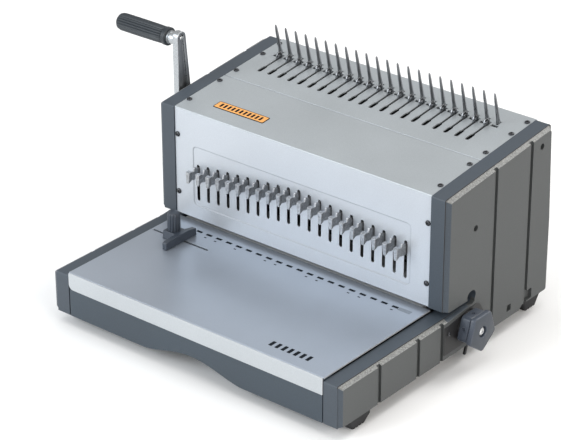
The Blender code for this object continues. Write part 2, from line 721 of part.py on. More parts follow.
def opener_lever():
    """Cast arm outside the left cap, with a boss for the grip and a clamp hub on the shaft."""
    near = LEVER_X
    far = LEVER_X - LEVER_T
    steps = 10
    outline = []
    for i in range(steps + 1):
        angle = math.pi * i / steps
        outline.append((GRIP_Y + 7.0 * math.cos(angle), ARM_TIP_Z + 7.0 * math.sin(angle)))
    for i in range(steps + 1):
        angle = math.pi + math.pi * i / steps
        outline.append((LEVER_Y + 12.0 * math.cos(angle), LEVER_Z + 12.0 * math.sin(angle)))
    bm = bmesh.new()
    prism(bm, outline, "X", far, near)
    lever = add_object("opener_lever", bm, "cast_aluminium", (near, LEVER_Y, LEVER_Z))
    boss = bmesh.new()
    lathe(boss, [(6.8, far + 2.0), (6.8, far - 6.5)], "X", GRIP_Y, GRIP_Z)
    join(lever, boss)
    spindle = bmesh.new()
    lathe(spindle, [(3.5, far), (3.5, GRIP_X1 + 6.0)], "X", GRIP_Y, GRIP_Z, 16)
    join(lever, spindle)
    bore = bmesh.new()
    prism(bore, circle(SHAFT_R + GAP, 24, LEVER_Y, LEVER_Z), "X", far - 5.0, near + 5.0)
    cut(lever, bore)
    groove = bmesh.new()
    channel = [(GRIP_Y - 1.8, ARM_TIP_Z - 4.0), (GRIP_Y + 2.6, ARM_TIP_Z - 4.0), (LEVER_Y + 4.5, LEVER_Z + 24.0),
               (LEVER_Y - 3.5, LEVER_Z + 24.0)]
    prism(groove, channel, "X", near - 2.0, near + 5.0)
    cut(lever, groove)
    return lever


def lever_grip():
    """Ribbed grip that turns on the lever's spindle."""
    bm = bmesh.new()
    profile = [(8.6, GRIP_X0 + 0.8), (GRIP_R + 0.3, GRIP_X0), (GRIP_R + 0.3, GRIP_X0 - 5.0), (9.4, GRIP_X0 - 5.6),
               (9.8, GRIP_X0 - 9.0), (GRIP_R, GRIP_X1 + 8.0), (9.4, GRIP_X1 + 2.2), (6.0, GRIP_X1)]
    lathe(bm, profile, "X", GRIP_Y, GRIP_Z, 24)
    grip = add_object("lever_grip", bm, "dark_plastic", (GRIP_X0, GRIP_Y, GRIP_Z))
    bore = bmesh.new()
    lathe(bore, [(3.9, GRIP_X1 + 5.0), (3.9, GRIP_X0 + 5.0)], "X", GRIP_Y, GRIP_Z, 16)
    cut(grip, bore)
    return grip


# ---------------------------------------------------------------- margin, edge guide, electrical

def pentagon(radius, corner, steps=3):
    """Round-cornered pentagon about the knob's axis, one corner pointing down."""
    corners = []
    for i in range(5):
        angle = math.radians(-90.0 + 72.0 * i)
        corners.append((KNOB_Y + radius * math.cos(angle), KNOB_Z + radius * math.sin(angle), corner))
    return rounded(corners, steps)


def margin_knob():
    """Five-sided knob: a barrel, a neck groove and an outer flange."""
    bm = bmesh.new()
    rings = []
    for x, radius in ((KNOB_X0, 20.5), (KNOB_X0 + 1.5, 22.0), (KNOB_X1 - 7.6, 22.0), (KNOB_X1 - 7.2, 20.6),
                      (KNOB_X1 - 6.2, 20.6), (KNOB_X1 - 5.8, KNOB_R + 1.0), (KNOB_X1 - 0.8, KNOB_R + 1.0),
                      (KNOB_X1, KNOB_R)):
        rings.append([(x, y, z) for y, z in pentagon(radius, 4.0)])
    loft(bm, rings)
    knob = add_object("margin_knob", bm, "dark_plastic", (KNOB_X0, KNOB_Y, KNOB_Z))
    bore = bmesh.new()
    prism(bore, circle(6.0, 20, KNOB_Y, KNOB_Z), "X", KNOB_X1 - 6.0, KNOB_X1 + 5.0)
    cut(knob, bore)
    socket = bmesh.new()
    prism(socket, circle(4.0 + GAP, 20, KNOB_Y, KNOB_Z), "X", KNOB_X0 - 5.0, KNOB_X1 - 4.0)
    cut(knob, socket)
    return knob


def margin_shaft():
    """Cross shaft with a crank pin at each end that shifts the back stop."""
    bm = bmesh.new()
    prism(bm, circle(4.0, 24, KNOB_Y, KNOB_Z), "X", -172.0, KNOB_X1 - 4.5)
    shaft = add_object("margin_shaft", bm, "bare_steel", (0.0, KNOB_Y, KNOB_Z))
    webs = bmesh.new()
    pins = bmesh.new()
    for side in (-1, 1):
        web = stadium(KNOB_Y - 6.0, KNOB_Y + 6.0, KNOB_Z - 6.5, KNOB_Z + CRANK_R + 4.0)
        prism(webs, web, "X", *sorted((side * 157.0, side * 160.0)))
        prism(pins, circle(2.5, 16, KNOB_Y, KNOB_Z + CRANK_R), "X", *sorted((side * 151.5, side * 158.0)))
    join(shaft, webs)
    join(shaft, pins)
    return shaft


def back_stop():
    """Bar behind the punch line that the paper's edge meets, on two slotted legs."""
    bm = bmesh.new()
    block(bm, -155.0, 155.0, STOP_Y, STOP_Y + 2.0, TRAY_Z + 0.4, PANEL_Z + 0.4)
    stop = add_object("back_stop", bm, "bare_steel", (0.0, STOP_Y, TRAY_Z))
    legs = bmesh.new()
    pin_z = KNOB_Z + CRANK_R
    half_slot = 2.5 + GAP
    leg_z = KNOB_Z + 4.7
    leg = [(STOP_Y, PANEL_Z + 0.4), (STOP_Y, TRAY_Z - 4.0), (KNOB_Y - 6.0, 58.0), (KNOB_Y - 6.0, leg_z),
           (KNOB_Y - half_slot, leg_z), (KNOB_Y - half_slot, pin_z + 4.0), (KNOB_Y + half_slot, pin_z + 4.0),
           (KNOB_Y + half_slot, leg_z), (KNOB_Y + 6.0, leg_z), (KNOB_Y + 6.0, 60.0),
           (STOP_Y + 8.0, TRAY_Z - 2.0), (STOP_Y + 8.0, PANEL_Z + 0.4)]
    for side in (-1, 1):
        prism(legs, leg, "X", *sorted((side * 152.0, side * 155.0)))
    join(stop, legs)
    return stop


def edge_guide():
    """Fence on the tray with a block for its clamp knob and a key in the tray's slot."""
    low = TRAY_Z + GAP
    bm = bmesh.new()
    fence = [(-73.0, low), (-23.4, low), (-23.4, low + 8.2), (-27.0, low + 8.8), (-36.0, low + 10.4),
             (-52.0, low + 10.4), (-66.0, low + 9.8), (-73.0, low + 8.6)]
    prism(bm, fence, "X", -132.0, -126.0)
    guide = add_object("edge_guide", bm, "dark_plastic", (GUIDE_X, GUIDE_Y, TRAY_Z))
    seat = bmesh.new()
    foot = [(-53.0, low), (-33.0, low), (-34.5, low + 9.4), (-51.5, low + 9.4)]
    prism(seat, foot, "X", -150.0, -131.0)
    join(guide, seat)
    bore = bmesh.new()
    prism(bore, circle(1.6, 16, GUIDE_X, GUIDE_Y), "Z", TRAY_Z - 5.0, low + 15.0)
    cut(guide, bore)
    return guide


def guide_knob():
    """Fluted clamp knob with its stud and the washer that grips the tray from below."""
    bm = bmesh.new()
    base = TRAY_Z + GAP + 9.4 + GAP
    under = TRAY_Z - SHEET
    profile = [(5.0, under - 3.0), (5.0, under - GAP), (1.2, under - GAP + 0.05), (1.2, base - 0.05), (6.6, base),
               (7.4, base + 1.0), (7.4, base + 18.5), (6.2, base + 21.5), (2.0, base + 22.3)]
    lathe(bm, profile, "Z", GUIDE_X, GUIDE_Y, 36, 0.7, 12)
    return add_object("guide_knob", bm, "dark_plastic", (GUIDE_X, GUIDE_Y, base))


def electrical():
    """Rocker switch, power inlet and pedal socket on the rear cover."""
    bm = bmesh.new()
    block(bm, 102.3, 129.7, 168.0, 185.7, 68.3, 87.7)
    inlet = add_object("power_inlet", bm, "dark_plastic")
    collar = bmesh.new()
    block(collar, 99.0, 133.0, 185.6, 188.0, 65.5, 90.5)
    join(inlet, collar)
    mouth = bmesh.new()
    prism(mouth, rounded([(104.5, 70.5, 1.0), (127.5, 70.5, 1.0), (127.5, 82.0, 0.0), (123.5, 85.8, 0.0),
                          (108.5, 85.8, 0.0), (104.5, 82.0, 0.0)]), "Y", 172.0, 195.0)
    cut(inlet, mouth)
    blades = bmesh.new()
    for x, z in ((109.0, 76.0), (116.0, 80.0), (123.0, 76.0)):
        block(blades, x - 1.0, x + 1.0, 170.0, 185.0, z - 2.0, z + 2.0)
    join(inlet, blades)
    bm = bmesh.new()
    rocker = [(184.0, 68.6), (187.4, 68.0), (186.6, 78.0), (189.4, 88.0), (184.0, 87.4), (180.0, 83.0),
              (180.0, 73.0)]
    prism(bm, rocker, "X", 141.0, 153.0)
    add_object("power_switch", bm, "dark_plastic", (147.0, 183.0, 78.0))
    bm = bmesh.new()
    lathe(bm, [(6.2, 170.0), (6.2, 185.8), (8.5, 185.8), (8.5, 187.6), (7.6, 188.4)], "Y", -130.0, 78.0)
    socket = add_object("pedal_socket", bm, "dark_plastic")
    mouth = bmesh.new()
    prism(mouth, circle(3.2, 16, -130.0, 78.0), "Y", 174.0, 195.0)
    cut(socket, mouth)


# ---------------------------------------------------------------- the whole machine

def build():
    global machine
    for old in list(bpy.data.objects):
        bpy.data.objects.remove(old, do_unlink=True)
    machine = bpy.data.objects.new("machine", None)
    left = GRIP_X1
    right = KNOB_X1
    machine.location = (-(left + right) / 2.0 * MM, -(FRONT_Y - 0.6 + REAR_LOW_Y) / 2.0 * MM, 0.0)
    bpy.context.scene.collection.objects.link(machine)
    base_pan()
    front_skirt()
    tray_plate()
    front_panel()
    top_front_cover()
    top_rear_cover()
    rear_cover()
    feet()
    for side in (-1, 1):
        side_plate(side)
        side_cap(side)
    punch_bar()
    die_blocks()
    for index in range(SLOT_COUNT):
        die_tab(index)
    drive_train()
    chip_drawer()
    comb_tines()
    hook_slide()
    lever_shaft()
    opener_lever()
    lever_grip()
    margin_knob()
    margin_shaft()
    back_stop()
    edge_guide()
    guide_knob()
    electrical()


build()
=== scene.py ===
"""Looks of the comb binding machine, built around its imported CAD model.

Pieces are modelled in millimetres in the machine's own frame: x = 0 is its middle plane, y = 0 the front
panel, z = 0 the table. One offset, read from the CAD, takes them to the row frame.
"""
import math

import bmesh
import bpy
from mathutils import Matrix, Vector


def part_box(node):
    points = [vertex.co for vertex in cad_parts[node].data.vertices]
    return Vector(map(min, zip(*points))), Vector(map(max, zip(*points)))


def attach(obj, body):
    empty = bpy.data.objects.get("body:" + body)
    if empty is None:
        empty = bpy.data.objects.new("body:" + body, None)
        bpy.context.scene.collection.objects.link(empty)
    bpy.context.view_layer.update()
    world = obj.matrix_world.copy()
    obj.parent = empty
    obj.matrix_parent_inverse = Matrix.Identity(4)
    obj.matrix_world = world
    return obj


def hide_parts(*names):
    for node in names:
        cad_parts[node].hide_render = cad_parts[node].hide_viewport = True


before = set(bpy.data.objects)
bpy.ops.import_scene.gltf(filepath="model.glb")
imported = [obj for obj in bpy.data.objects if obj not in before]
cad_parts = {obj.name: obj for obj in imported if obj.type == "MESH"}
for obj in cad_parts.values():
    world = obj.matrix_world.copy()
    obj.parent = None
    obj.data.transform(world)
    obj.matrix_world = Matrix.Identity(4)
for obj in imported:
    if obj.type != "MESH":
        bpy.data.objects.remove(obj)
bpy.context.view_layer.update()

MM = 0.001
PANEL_LOW, PANEL_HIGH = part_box("front_panel")
OFFSET = Vector(((PANEL_LOW.x + PANEL_HIGH.x) / 2.0, PANEL_LOW.y, 0.0))


def cad(node):
    """A CAD node's box in the machine frame, in millimetres."""
    return tuple((corner - OFFSET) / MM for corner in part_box(node))


# Repeats and main planes, as in the CAD.
PITCH = 14.2875
SLOT_COUNT = 21
TINE_COUNT = 22
SLOT_HALF = 2.15
SLOT_LOW_Z, SLOT_HIGH_Z = 94.8, 138.9
SLOT_ARCH = 13.8
TAB_Z = 129.4
COVER_X = cad("front_panel")[1].x
PAD_X = cad("right_cap")[1].x
STRIP_X = 192.7
SHEET = 1.5
FRONT_Y = -176.4
REAR_Y = 188.6
REAR_LOW_Y = 193.0
SKIRT_Z = 14.5
PAD_REAR_Z = 21.0
RIM_Z = 63.7
TRAY_Z = 67.0
STRIP_Z = 47.4
PANEL_Z = 72.1
TOP_Z = 201.4
TOP_REAR_Z = 219.9
SEAM_Y = 85.0
SLOPE = math.atan2(TOP_REAR_Z - TOP_Z, REAR_Y)
THROAT_END_Y = 50.0
THROAT_TOP_Z = 76.0
TINE_X0 = -154.07
TINE_Y = 158.4
TINE_LEAN = math.radians(13.8)
TINE_LENGTH = 39.4
HOOK_X0 = -148.6
PIN_REST_Y, PIN_HEIGHT = 59.83, -15.75
LEVER_Y, LEVER_Z = 49.0, 157.0
LEVER_NEAR, LEVER_FAR = -201.0, -209.0
GRIP_Y, GRIP_Z = 43.0, 258.0
ARM_TIP_Z = 261.5
GRIP_X0, GRIP_X1 = -219.0, -294.0
KNOB_Y, KNOB_Z = 36.0, 42.3
KNOB_X0, KNOB_X1 = 200.5, 220.0
GUIDE_X, GUIDE_Y = -141.4, -43.0
GUIDE_SLOT_X0, GUIDE_SLOT_X1 = -172.3, -91.9

# Screws, grooves and wells: places on each side of the middle plane.
SCREW_RADIUS, SCREW_HEIGHT = 3.15, 1.9
PANEL_SCREW_X, PANEL_SCREW_ZS = 171.2, (98.6, 168.7)
COVER_SCREW_X, COVER_SCREW_YS = 170.8, (20.3, 71.5, 100.0, 146.5, 176.2)
REAR_SCREW_X, REAR_SCREW_ZS = 166.0, (60.0, 135.0, 200.0)
REAR_FACE_Y = 185.5
PAD_WELLS = ((47.3, 152.4), (165.8, 202.2))
PAD_WELL_RADIUS = 3.6
GROOVE_HALF = 2.8
LOW_GROOVE_YS = (-113.6, -48.0, -7.0)
HIGH_GROOVE_YS = (82.2, 146.6)

# Prints on the tray.
HOLE_MARK_HALF, HOLE_MARK_Y0, HOLE_MARK_Y1 = 4.0, -16.9, -13.3
REFERENCE_MARKS = (1, 2, 3, 5, 8, 9, 12, 13, 16, 17, 20)
BAR_COUNT, BAR_X0, BAR_PITCH, BAR_HALF = 7, 92.0, 8.0, 2.1

# Finishes: the smooth change of roughness, and the large mottling in patches per metre.
ROUGH_SWING = 0.06
PATCH_SCALE = 9.0

# Viewpoint: round to the right, up, roll, lens, distance and the aimed point in the machine frame.
AZIMUTH, ELEVATION, ROLL = 39.56, 27.07, -0.19
SENSOR, LENS = 36.0, 153.67
DISTANCE = 2.56971
AIM = (-14.74, -12.09, 117.01)


# ---------------------------------------------------------------- materials

def new_tree(name):
    made = bpy.data.materials.new(name)
    made.use_nodes = True
    tree = made.node_tree
    return made, tree, tree.nodes["Principled BSDF"]


def add_noise(tree, coord, scale, detail=2.0, stretch=None):
    """Noise over the piece's own coordinates, in features per metre, optionally stretched."""
    source = coord
    if stretch:
        mapping = tree.nodes.new("ShaderNodeMapping")
        mapping.inputs["Scale"].default_value = stretch
        tree.links.new(coord, mapping.inputs["Vector"])
        source = mapping.outputs["Vector"]
    noise = tree.nodes.new("ShaderNodeTexNoise")
    noise.inputs["Scale"].default_value = scale
    noise.inputs["Detail"].default_value = detail
    tree.links.new(source, noise.inputs["Vector"])
    return noise.outputs["Fac"]


def add_range(tree, value, low, high, to_low, to_high):
    node = tree.nodes.new("ShaderNodeMapRange")
    for socket, number in zip(("From Min", "From Max", "To Min", "To Max"), (low, high, to_low, to_high)):
        node.inputs[socket].default_value = number
    tree.links.new(value, node.inputs["Value"])
    return node.outputs["Result"]


def add_math(tree, operation, first, second):
    node = tree.nodes.new("ShaderNodeMath")
    node.operation = operation
    for socket, value in zip(node.inputs, (first, second)):
        if isinstance(value, (int, float)):
            socket.default_value = value
        else:
            tree.links.new(value, socket)
    return node.outputs["Value"]


def add_mix(tree, blend, factor, first, second):
    node = tree.nodes.new("ShaderNodeMix")
    node.data_type = "RGBA"
    node.blend_type = blend
    for socket, value in zip((node.inputs[0], node.inputs[6], node.inputs[7]), (factor, first, second)):
        if isinstance(value, (int, float)):
            socket.default_value = value
        elif isinstance(value, tuple):
            socket.default_value = (*value, 1.0)
        else:
            tree.links.new(value, socket)
    return node.outputs[2]


def edge_mask(tree, radius):
    """One on convex and concave edges, zero on open faces."""
    bevel = tree.nodes.new("ShaderNodeBevel")
    bevel.samples = 4
    bevel.inputs["Radius"].default_value = radius
    geometry = tree.nodes.new("ShaderNodeNewGeometry")
    dot = tree.nodes.new("ShaderNodeVectorMath")
    dot.operation = "DOT_PRODUCT"
    tree.links.new(bevel.outputs["Normal"], dot.inputs[0])
    tree.links.new(geometry.outputs["Normal"], dot.inputs[1])
    return add_range(tree, dot.outputs["Value"], 0.985, 0.80, 0.0, 1.0)


def surface(name, colour, metallic=0.0, roughness=0.45, grain=900.0, depth=0.00005, bump=0.25,
            mottle=0.05, fleck=0.05, wear_and_glint=0.25, wear_and_glint_colour=None, wear_and_glint_radius=0.0007, stretch=None,
            coat=0.0, specular=0.5):
    """A finish with large mottling, fine grain in colour, roughness and relief, and lighter edges that are
    partly wear and partly a painted highlight.
    """
    made, tree, shader = new_tree(name)
    coord = tree.nodes.new("ShaderNodeTexCoord").outputs["Object"]
    large = add_noise(tree, coord, PATCH_SCALE, 3.0)
    fine = add_noise(tree, coord, grain, 2.0, stretch)
    shade = add_range(tree, large, 0.3, 0.7, 1.0 - mottle, 1.0 + mottle)
    speck = add_range(tree, fine, 0.3, 0.7, 1.0 - fleck, 1.0 + fleck)
    tone = add_math(tree, "MULTIPLY", shade, speck)
    painted = add_mix(tree, "MULTIPLY", 1.0, colour, tone)
    # Convex and concave edges are blended towards a lighter colour: partly wear, partly a painted highlight
    # along the edges.
    edge = edge_mask(tree, wear_and_glint_radius)
    broken = add_range(tree, add_noise(tree, coord, 140.0, 4.0), 0.35, 0.65, 0.35, 1.0)
    wear_and_glint_amount = add_math(tree, "MULTIPLY", add_math(tree, "MULTIPLY", edge, broken), wear_and_glint)
    wear_and_glint_colour = wear_and_glint_colour or tuple(min(1.0, 1.6 * part + 0.03) for part in colour)
    tree.links.new(add_mix(tree, "MIX", wear_and_glint_amount, painted, wear_and_glint_colour), shader.inputs["Base Color"])
    shader.inputs["Metallic"].default_value = metallic
    rough = add_range(tree, add_math(tree, "ADD", large, fine), 0.6, 1.4, roughness - ROUGH_SWING,
                      roughness + ROUGH_SWING)
    tree.links.new(rough, shader.inputs["Roughness"])
    shader.inputs["Coat Weight"].default_value = coat
    shader.inputs["Specular IOR Level"].default_value = specular
    relief = tree.nodes.new("ShaderNodeBump")
    relief.inputs["Strength"].default_value = bump
    relief.inputs["Distance"].default_value = depth
    tree.links.new(fine, relief.inputs["Height"])
    tree.links.new(relief.outputs["Normal"], shader.inputs["Normal"])
    return made


# Colour, metallic, roughness, grain per metre, relief depth and strength, mottling, flecks, the amount of
# lighter edges (partly wear, partly painted highlight) and their colour.
LOOKS = {
    "silver": surface("silver_paint_look", (0.40, 0.43, 0.45), 0.45, 0.42, 1100.0, 0.00003, 0.22, 0.05, 0.07,
                      0.35, (0.74, 0.76, 0.78)),
    "panel": surface("panel_paint_look", (0.50, 0.53, 0.57), 0.35, 0.42, 1100.0, 0.00003, 0.20, 0.035, 0.05,
                     0.15, (0.85, 0.87, 0.90)),
    # A darker, duller copy of the panel paint for the pressed field's fold faces: painted shade that damps
    # their highlight.
    "fold": surface("panel_fold_painted_shade_look", (0.35, 0.375, 0.41), 0.0, 0.60, 1100.0, 0.00003, 0.20, 0.035, 0.05,
                    0.0),
    "tray": surface("tray_paint_look", (0.36, 0.40, 0.46), 0.60, 0.34, 1300.0, 0.00003, 0.18, 0.05, 0.05,
                    0.45, (0.78, 0.81, 0.85)),
    "strip": surface("tray_front_look", (0.46, 0.485, 0.505), 0.35, 0.42, 1100.0, 0.00003, 0.20, 0.03, 0.05,
                     0.35, (0.85, 0.87, 0.90)),
    "slate": surface("slate_plastic_look", (0.046, 0.059, 0.075), 0.0, 0.52, 750.0, 0.00012, 0.35, 0.06, 0.10,
                     0.30, (0.15, 0.16, 0.17)),
    # A lighter, less blue copy of the slate for the raised pads: painted light on the side faces.
    "slate_pad": surface("slate_pad_painted_light_look", (0.066, 0.071, 0.072), 0.0, 0.52, 750.0, 0.00012, 0.35, 0.06, 0.10,
                         0.35, (0.19, 0.19, 0.19)),
    # A lighter copy of the slate for the upward bevel faces: a painted highlight.
    "slate_lit_bevel": surface("slate_bevel_painted_highlight_look", (0.175, 0.178, 0.172), 0.0, 0.42, 560.0, 0.00035, 0.90, 0.08,
                          0.45, 0.40, (0.34, 0.34, 0.34)),
    "skirt": surface("skirt_plastic_look", (0.036, 0.051, 0.067), 0.0, 0.52, 750.0, 0.00012, 0.35, 0.06, 0.10,
                     0.30, (0.12, 0.14, 0.16)),
    "dark": surface("dark_plastic_look", (0.036, 0.045, 0.060), 0.0, 0.38, 900.0, 0.00008, 0.30, 0.06, 0.10,
                    0.50, (0.18, 0.19, 0.22)),
    # A lighter copy of the knob plastic for its barrel: painted light where less lamp light falls.
    "knob_barrel_brightened": surface("knob_plastic_brightened_look", (0.056, 0.068, 0.091), 0.0, 0.34, 900.0, 0.00008, 0.30, 0.06, 0.10,
                    0.75, (0.27, 0.29, 0.33)),
    "black": surface("black_plastic_look", (0.014, 0.014, 0.015), 0.0, 0.45, 900.0, 0.00008, 0.30, 0.06, 0.10,
                     0.35, (0.07, 0.07, 0.07)),
    "grip": surface("grip_plastic_look", (0.017, 0.023, 0.029), 0.0, 0.42, 800.0, 0.00010, 0.35, 0.06, 0.10,
                    0.40, (0.07, 0.08, 0.09)),
    "rubber": surface("foot_rubber_look", (0.018, 0.018, 0.020), 0.0, 0.75, 600.0, 0.00015, 0.40, 0.10, 0.12,
                      0.25, (0.06, 0.06, 0.06)),
    "steel": surface("bright_steel_look", (0.56, 0.57, 0.58), 1.0, 0.30, 500.0, 0.00003, 0.20, 0.04, 0.06,
                     0.40, (0.80, 0.80, 0.80), stretch=(1.0, 12.0, 12.0)),
    "blued": surface("blued_steel_look", (0.045, 0.046, 0.050), 0.8, 0.40, 600.0, 0.00003, 0.20, 0.08, 0.10,
                     0.40, (0.20, 0.20, 0.21)),
    "tine": surface("tine_steel_look", (0.20, 0.205, 0.215), 0.9, 0.30, 700.0, 0.00004, 0.25, 0.08, 0.12,
                    0.45, (0.62, 0.63, 0.65), wear_and_glint_radius=0.0003, stretch=(1.0, 1.0, 0.12)),
    "zinc": surface("tab_zinc_look", (0.335, 0.345, 0.36), 0.80, 0.34, 420.0, 0.00020, 0.60, 0.16, 0.28,
                    0.85, (0.90, 0.91, 0.92), wear_and_glint_radius=0.0005),
    "cast": surface("cast_aluminium_look", (0.43, 0.45, 0.465), 0.90, 0.28, 520.0, 0.00006, 0.30, 0.05, 0.06,
                    0.50, (0.85, 0.86, 0.87)),
    "cast_side": surface("cast_shadow_side_look", (0.26, 0.27, 0.29), 0.90, 0.34, 520.0, 0.00006, 0.30, 0.05,
                         0.06, 0.50, (0.60, 0.61, 0.63)),
    "screw": surface("black_screw_look", (0.050, 0.052, 0.057), 0.8, 0.25, 900.0, 0.00003, 0.25, 0.08, 0.10,
                     0.80, (0.50, 0.51, 0.53), wear_and_glint_radius=0.0004),
    "bright": surface("bright_screw_look", (0.72, 0.73, 0.74), 0.6, 0.35, 900.0, 0.00003, 0.25, 0.06, 0.08,
                      0.40, (0.85, 0.86, 0.87)),
    "enamel": surface("motor_enamel_look", (0.03, 0.03, 0.03), 0.3, 0.45),
    "ink": surface("printed_ink_look", (0.008, 0.010, 0.014), 0.0, 0.75, 900.0, 0.00002, 0.2, 0.08, 0.12, 0.0,
                   specular=0.1),
    "grey_ink": surface("printed_grey_look", (0.20, 0.23, 0.27), 0.0, 0.50, 900.0, 0.00002, 0.2, 0.05, 0.08,
                        0.0),
    "orange": surface("label_orange_look", (0.76, 0.35, 0.085), 0.0, 0.36, 700.0, 0.00002, 0.2, 0.05, 0.07,
                      0.0, coat=0.3),
}


# ---------------------------------------------------------------- mesh helpers

def place(axis, first, second, along):
    if axis == "X":
        return (along, first, second)
    if axis == "Y":
        return (first, along, second)
    return (first, second, along)


def loft(bm, rings):
    """A closed solid through rings of equal point counts."""
    rows = [[bm.verts.new(point) for point in ring] for ring in rings]
    count = len(rows[0])
    for low, high in zip(rows, rows[1:]):
        for i in range(count):
            j = (i + 1) % count
            bm.faces.new((low[i], low[j], high[j], high[i]))
    bm.faces.new(rows[0][::-1])
    bm.faces.new(rows[-1])


def prism(bm, outline, axis, low, high):
    loft(bm, [[place(axis, a, b, along) for a, b in outline] for along in (low, high)])


def block(bm, x0, x1, y0, y1, z0, z1):
    prism(bm, [(x0, y0), (x1, y0), (x1, y1), (x0, y1)], "Z", z0, z1)


def circle(radius, steps, first=0.0, second=0.0):
    turn = 2.0 * math.pi / steps
    return [(first + radius * math.cos(i * turn), second + radius * math.sin(i * turn)) for i in range(steps)]


def lathe(bm, profile, axis, first, second, steps=40, flute=0.0, flutes=0, fluted=None):
    """Turn (radius, along) pairs about an axis; fluted limits the flutes to a stretch of the axis."""
    rings = []
    for radius, along in profile:
        ring = []
        on_flute = flute and (fluted is None or fluted[0] <= along <= fluted[1])
        for i in range(steps):
            angle = 2.0 * math.pi * i / steps
            reach = radius
            if on_flute:
                reach -= flute * abs(math.sin(flutes * angle / 2.0)) ** 4
            ring.append(place(axis, first + reach * math.cos(angle), second + reach * math.sin(angle), along))
        rings.append(ring)
    loft(bm, rings)


def rounded(corners, steps=6):
    """An outline from (a, b, radius) corners, with round ones as arcs."""
    outline = []
    count = len(corners)
    for i, (a, b, radius) in enumerate(corners):
        if radius == 0.0:
            outline.append((a, b))
            continue
        before = corners[i - 1]
        after = corners[(i + 1) % count]
        back = math.atan2(before[1] - b, before[0] - a)
        ahead = math.atan2(after[1] - b, after[0] - a)
        turn = math.remainder(ahead - back, 2.0 * math.pi)
        half = abs(turn) / 2.0
        reach = radius / math.tan(half)
        middle = back + turn / 2.0
        centre_a = a + radius / math.sin(half) * math.cos(middle)
        centre_b = b + radius / math.sin(half) * math.sin(middle)
        start = math.atan2(b + reach * math.sin(back) - centre_b, a + reach * math.cos(back) - centre_a)
        end = math.atan2(b + reach * math.sin(ahead) - centre_b, a + reach * math.cos(ahead) - centre_a)
        sweep = math.remainder(end - start, 2.0 * math.pi)
        for k in range(steps + 1):
            angle = start + sweep * k / steps
            outline.append((centre_a + radius * math.cos(angle), centre_b + radius * math.sin(angle)))
    return outline


def round_box(a0, a1, b0, b1, radius, steps=6):
    return rounded([(a0, b0, radius), (a1, b0, radius), (a1, b1, radius), (a0, b1, radius)], steps)


def stadium(a0, a1, b0, b1, steps=6):
    return round_box(a0, a1, b0, b1, min(a1 - a0, b1 - b0) / 2.0 * 0.999, steps)


def temporary(bm):
    bmesh.ops.recalc_face_normals(bm, faces=bm.faces)
    mesh = bpy.data.meshes.new("temporary")
    bm.to_mesh(mesh)
    bm.free()
    made = bpy.data.objects.new("temporary", mesh)
    bpy.context.scene.collection.objects.link(made)
    return made


def combined(bm, operands, operation="DIFFERENCE"):
    """The solid after cutting or adding each operand, exactly."""
    holder = temporary(bm)
    others = []
    for operand in operands:
        other = temporary(operand)
        modifier = holder.modifiers.new("step", "BOOLEAN")
        modifier.operation = operation
        modifier.solver = "EXACT"
        modifier.object = other
        others.append(other)
    bpy.context.view_layer.update()
    graph = bpy.context.evaluated_depsgraph_get()
    mesh = bpy.data.meshes.new_from_object(holder.evaluated_get(graph))
    result = bmesh.new()
    result.from_mesh(mesh)
    bpy.data.meshes.remove(mesh)
    for used in others + [holder]:
        data = used.data
        bpy.data.objects.remove(used, do_unlink=True)
        bpy.data.meshes.remove(data)
    return result


def piece(name, bm, look, body, stands_for=(), bevel=0.0, segments=2, accents=()):
    """A finished piece on its body. Each accent is a further look and its test of face centre and normal."""
    bmesh.ops.remove_doubles(bm, verts=bm.verts, dist=0.002)
    bmesh.ops.recalc_face_normals(bm, faces=bm.faces)
    for vert in bm.verts:
        vert.co = vert.co * MM + OFFSET
    mesh = bpy.data.meshes.new(name)
    bm.to_mesh(mesh)
    bm.free()
    mesh.materials.append(LOOKS[look])
    for index, (further, test) in enumerate(accents, 1):
        mesh.materials.append(LOOKS[further])
        for face in mesh.polygons:
            if test((face.center - OFFSET) / MM, face.normal):
                face.material_index = index
    mesh.shade_smooth()
    made = bpy.data.objects.new(name, mesh)
    bpy.context.scene.collection.objects.link(made)
    if bevel:
        soften(made, bevel, segments)
    else:
        mesh.set_sharp_from_angle(angle=math.radians(35.0))
    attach(made, body)
    if stands_for:
        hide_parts(*stands_for)
    return made


def soften(made, width, segments=2):
    """Rounded edges in millimetres, with flat faces kept flat in the shading."""
    modifier = made.modifiers.new("edges", "BEVEL")
    modifier.width = width * MM
    modifier.segments = segments
    modifier.limit_method = "ANGLE"
    modifier.angle_limit = math.radians(32.0)
    made.modifiers.new("normals", "WEIGHTED_NORMAL").keep_sharp = True


def dress(node, look, bevel=0.0):
    """A CAD node whose shape is right keeps its mesh and takes a finished material."""
    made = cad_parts[node]
    for slot in made.material_slots:
        slot.material = LOOKS[look]
    if not made.material_slots:
        made.data.materials.append(LOOKS[look])
    if bevel:
        soften(made, bevel)


def top_z(y):
    """Height of the top covers' outer face."""
    return TOP_Z + y * math.tan(SLOPE)


def on_top(y, height):
    """The (y, z) point square off the sloping top, above the point at y."""
    return (y - height * math.sin(SLOPE), top_z(y) + height * math.cos(SLOPE))


def on_top_box(y0, y1, low, high):
    return [on_top(y0, low), on_top(y1, low), on_top(y1, high), on_top(y0, high)]


def slot_x(index):
    return (index - (SLOT_COUNT - 1) / 2.0) * PITCH


def slot_rise(index):
    """How far a slot stands above the outermost ones, in the row's shallow arch."""
    middle = (SLOT_COUNT - 1) / 2.0
    return SLOT_ARCH * (1.0 - abs(index - middle) / middle)


# ---------------------------------------------------------------- screws

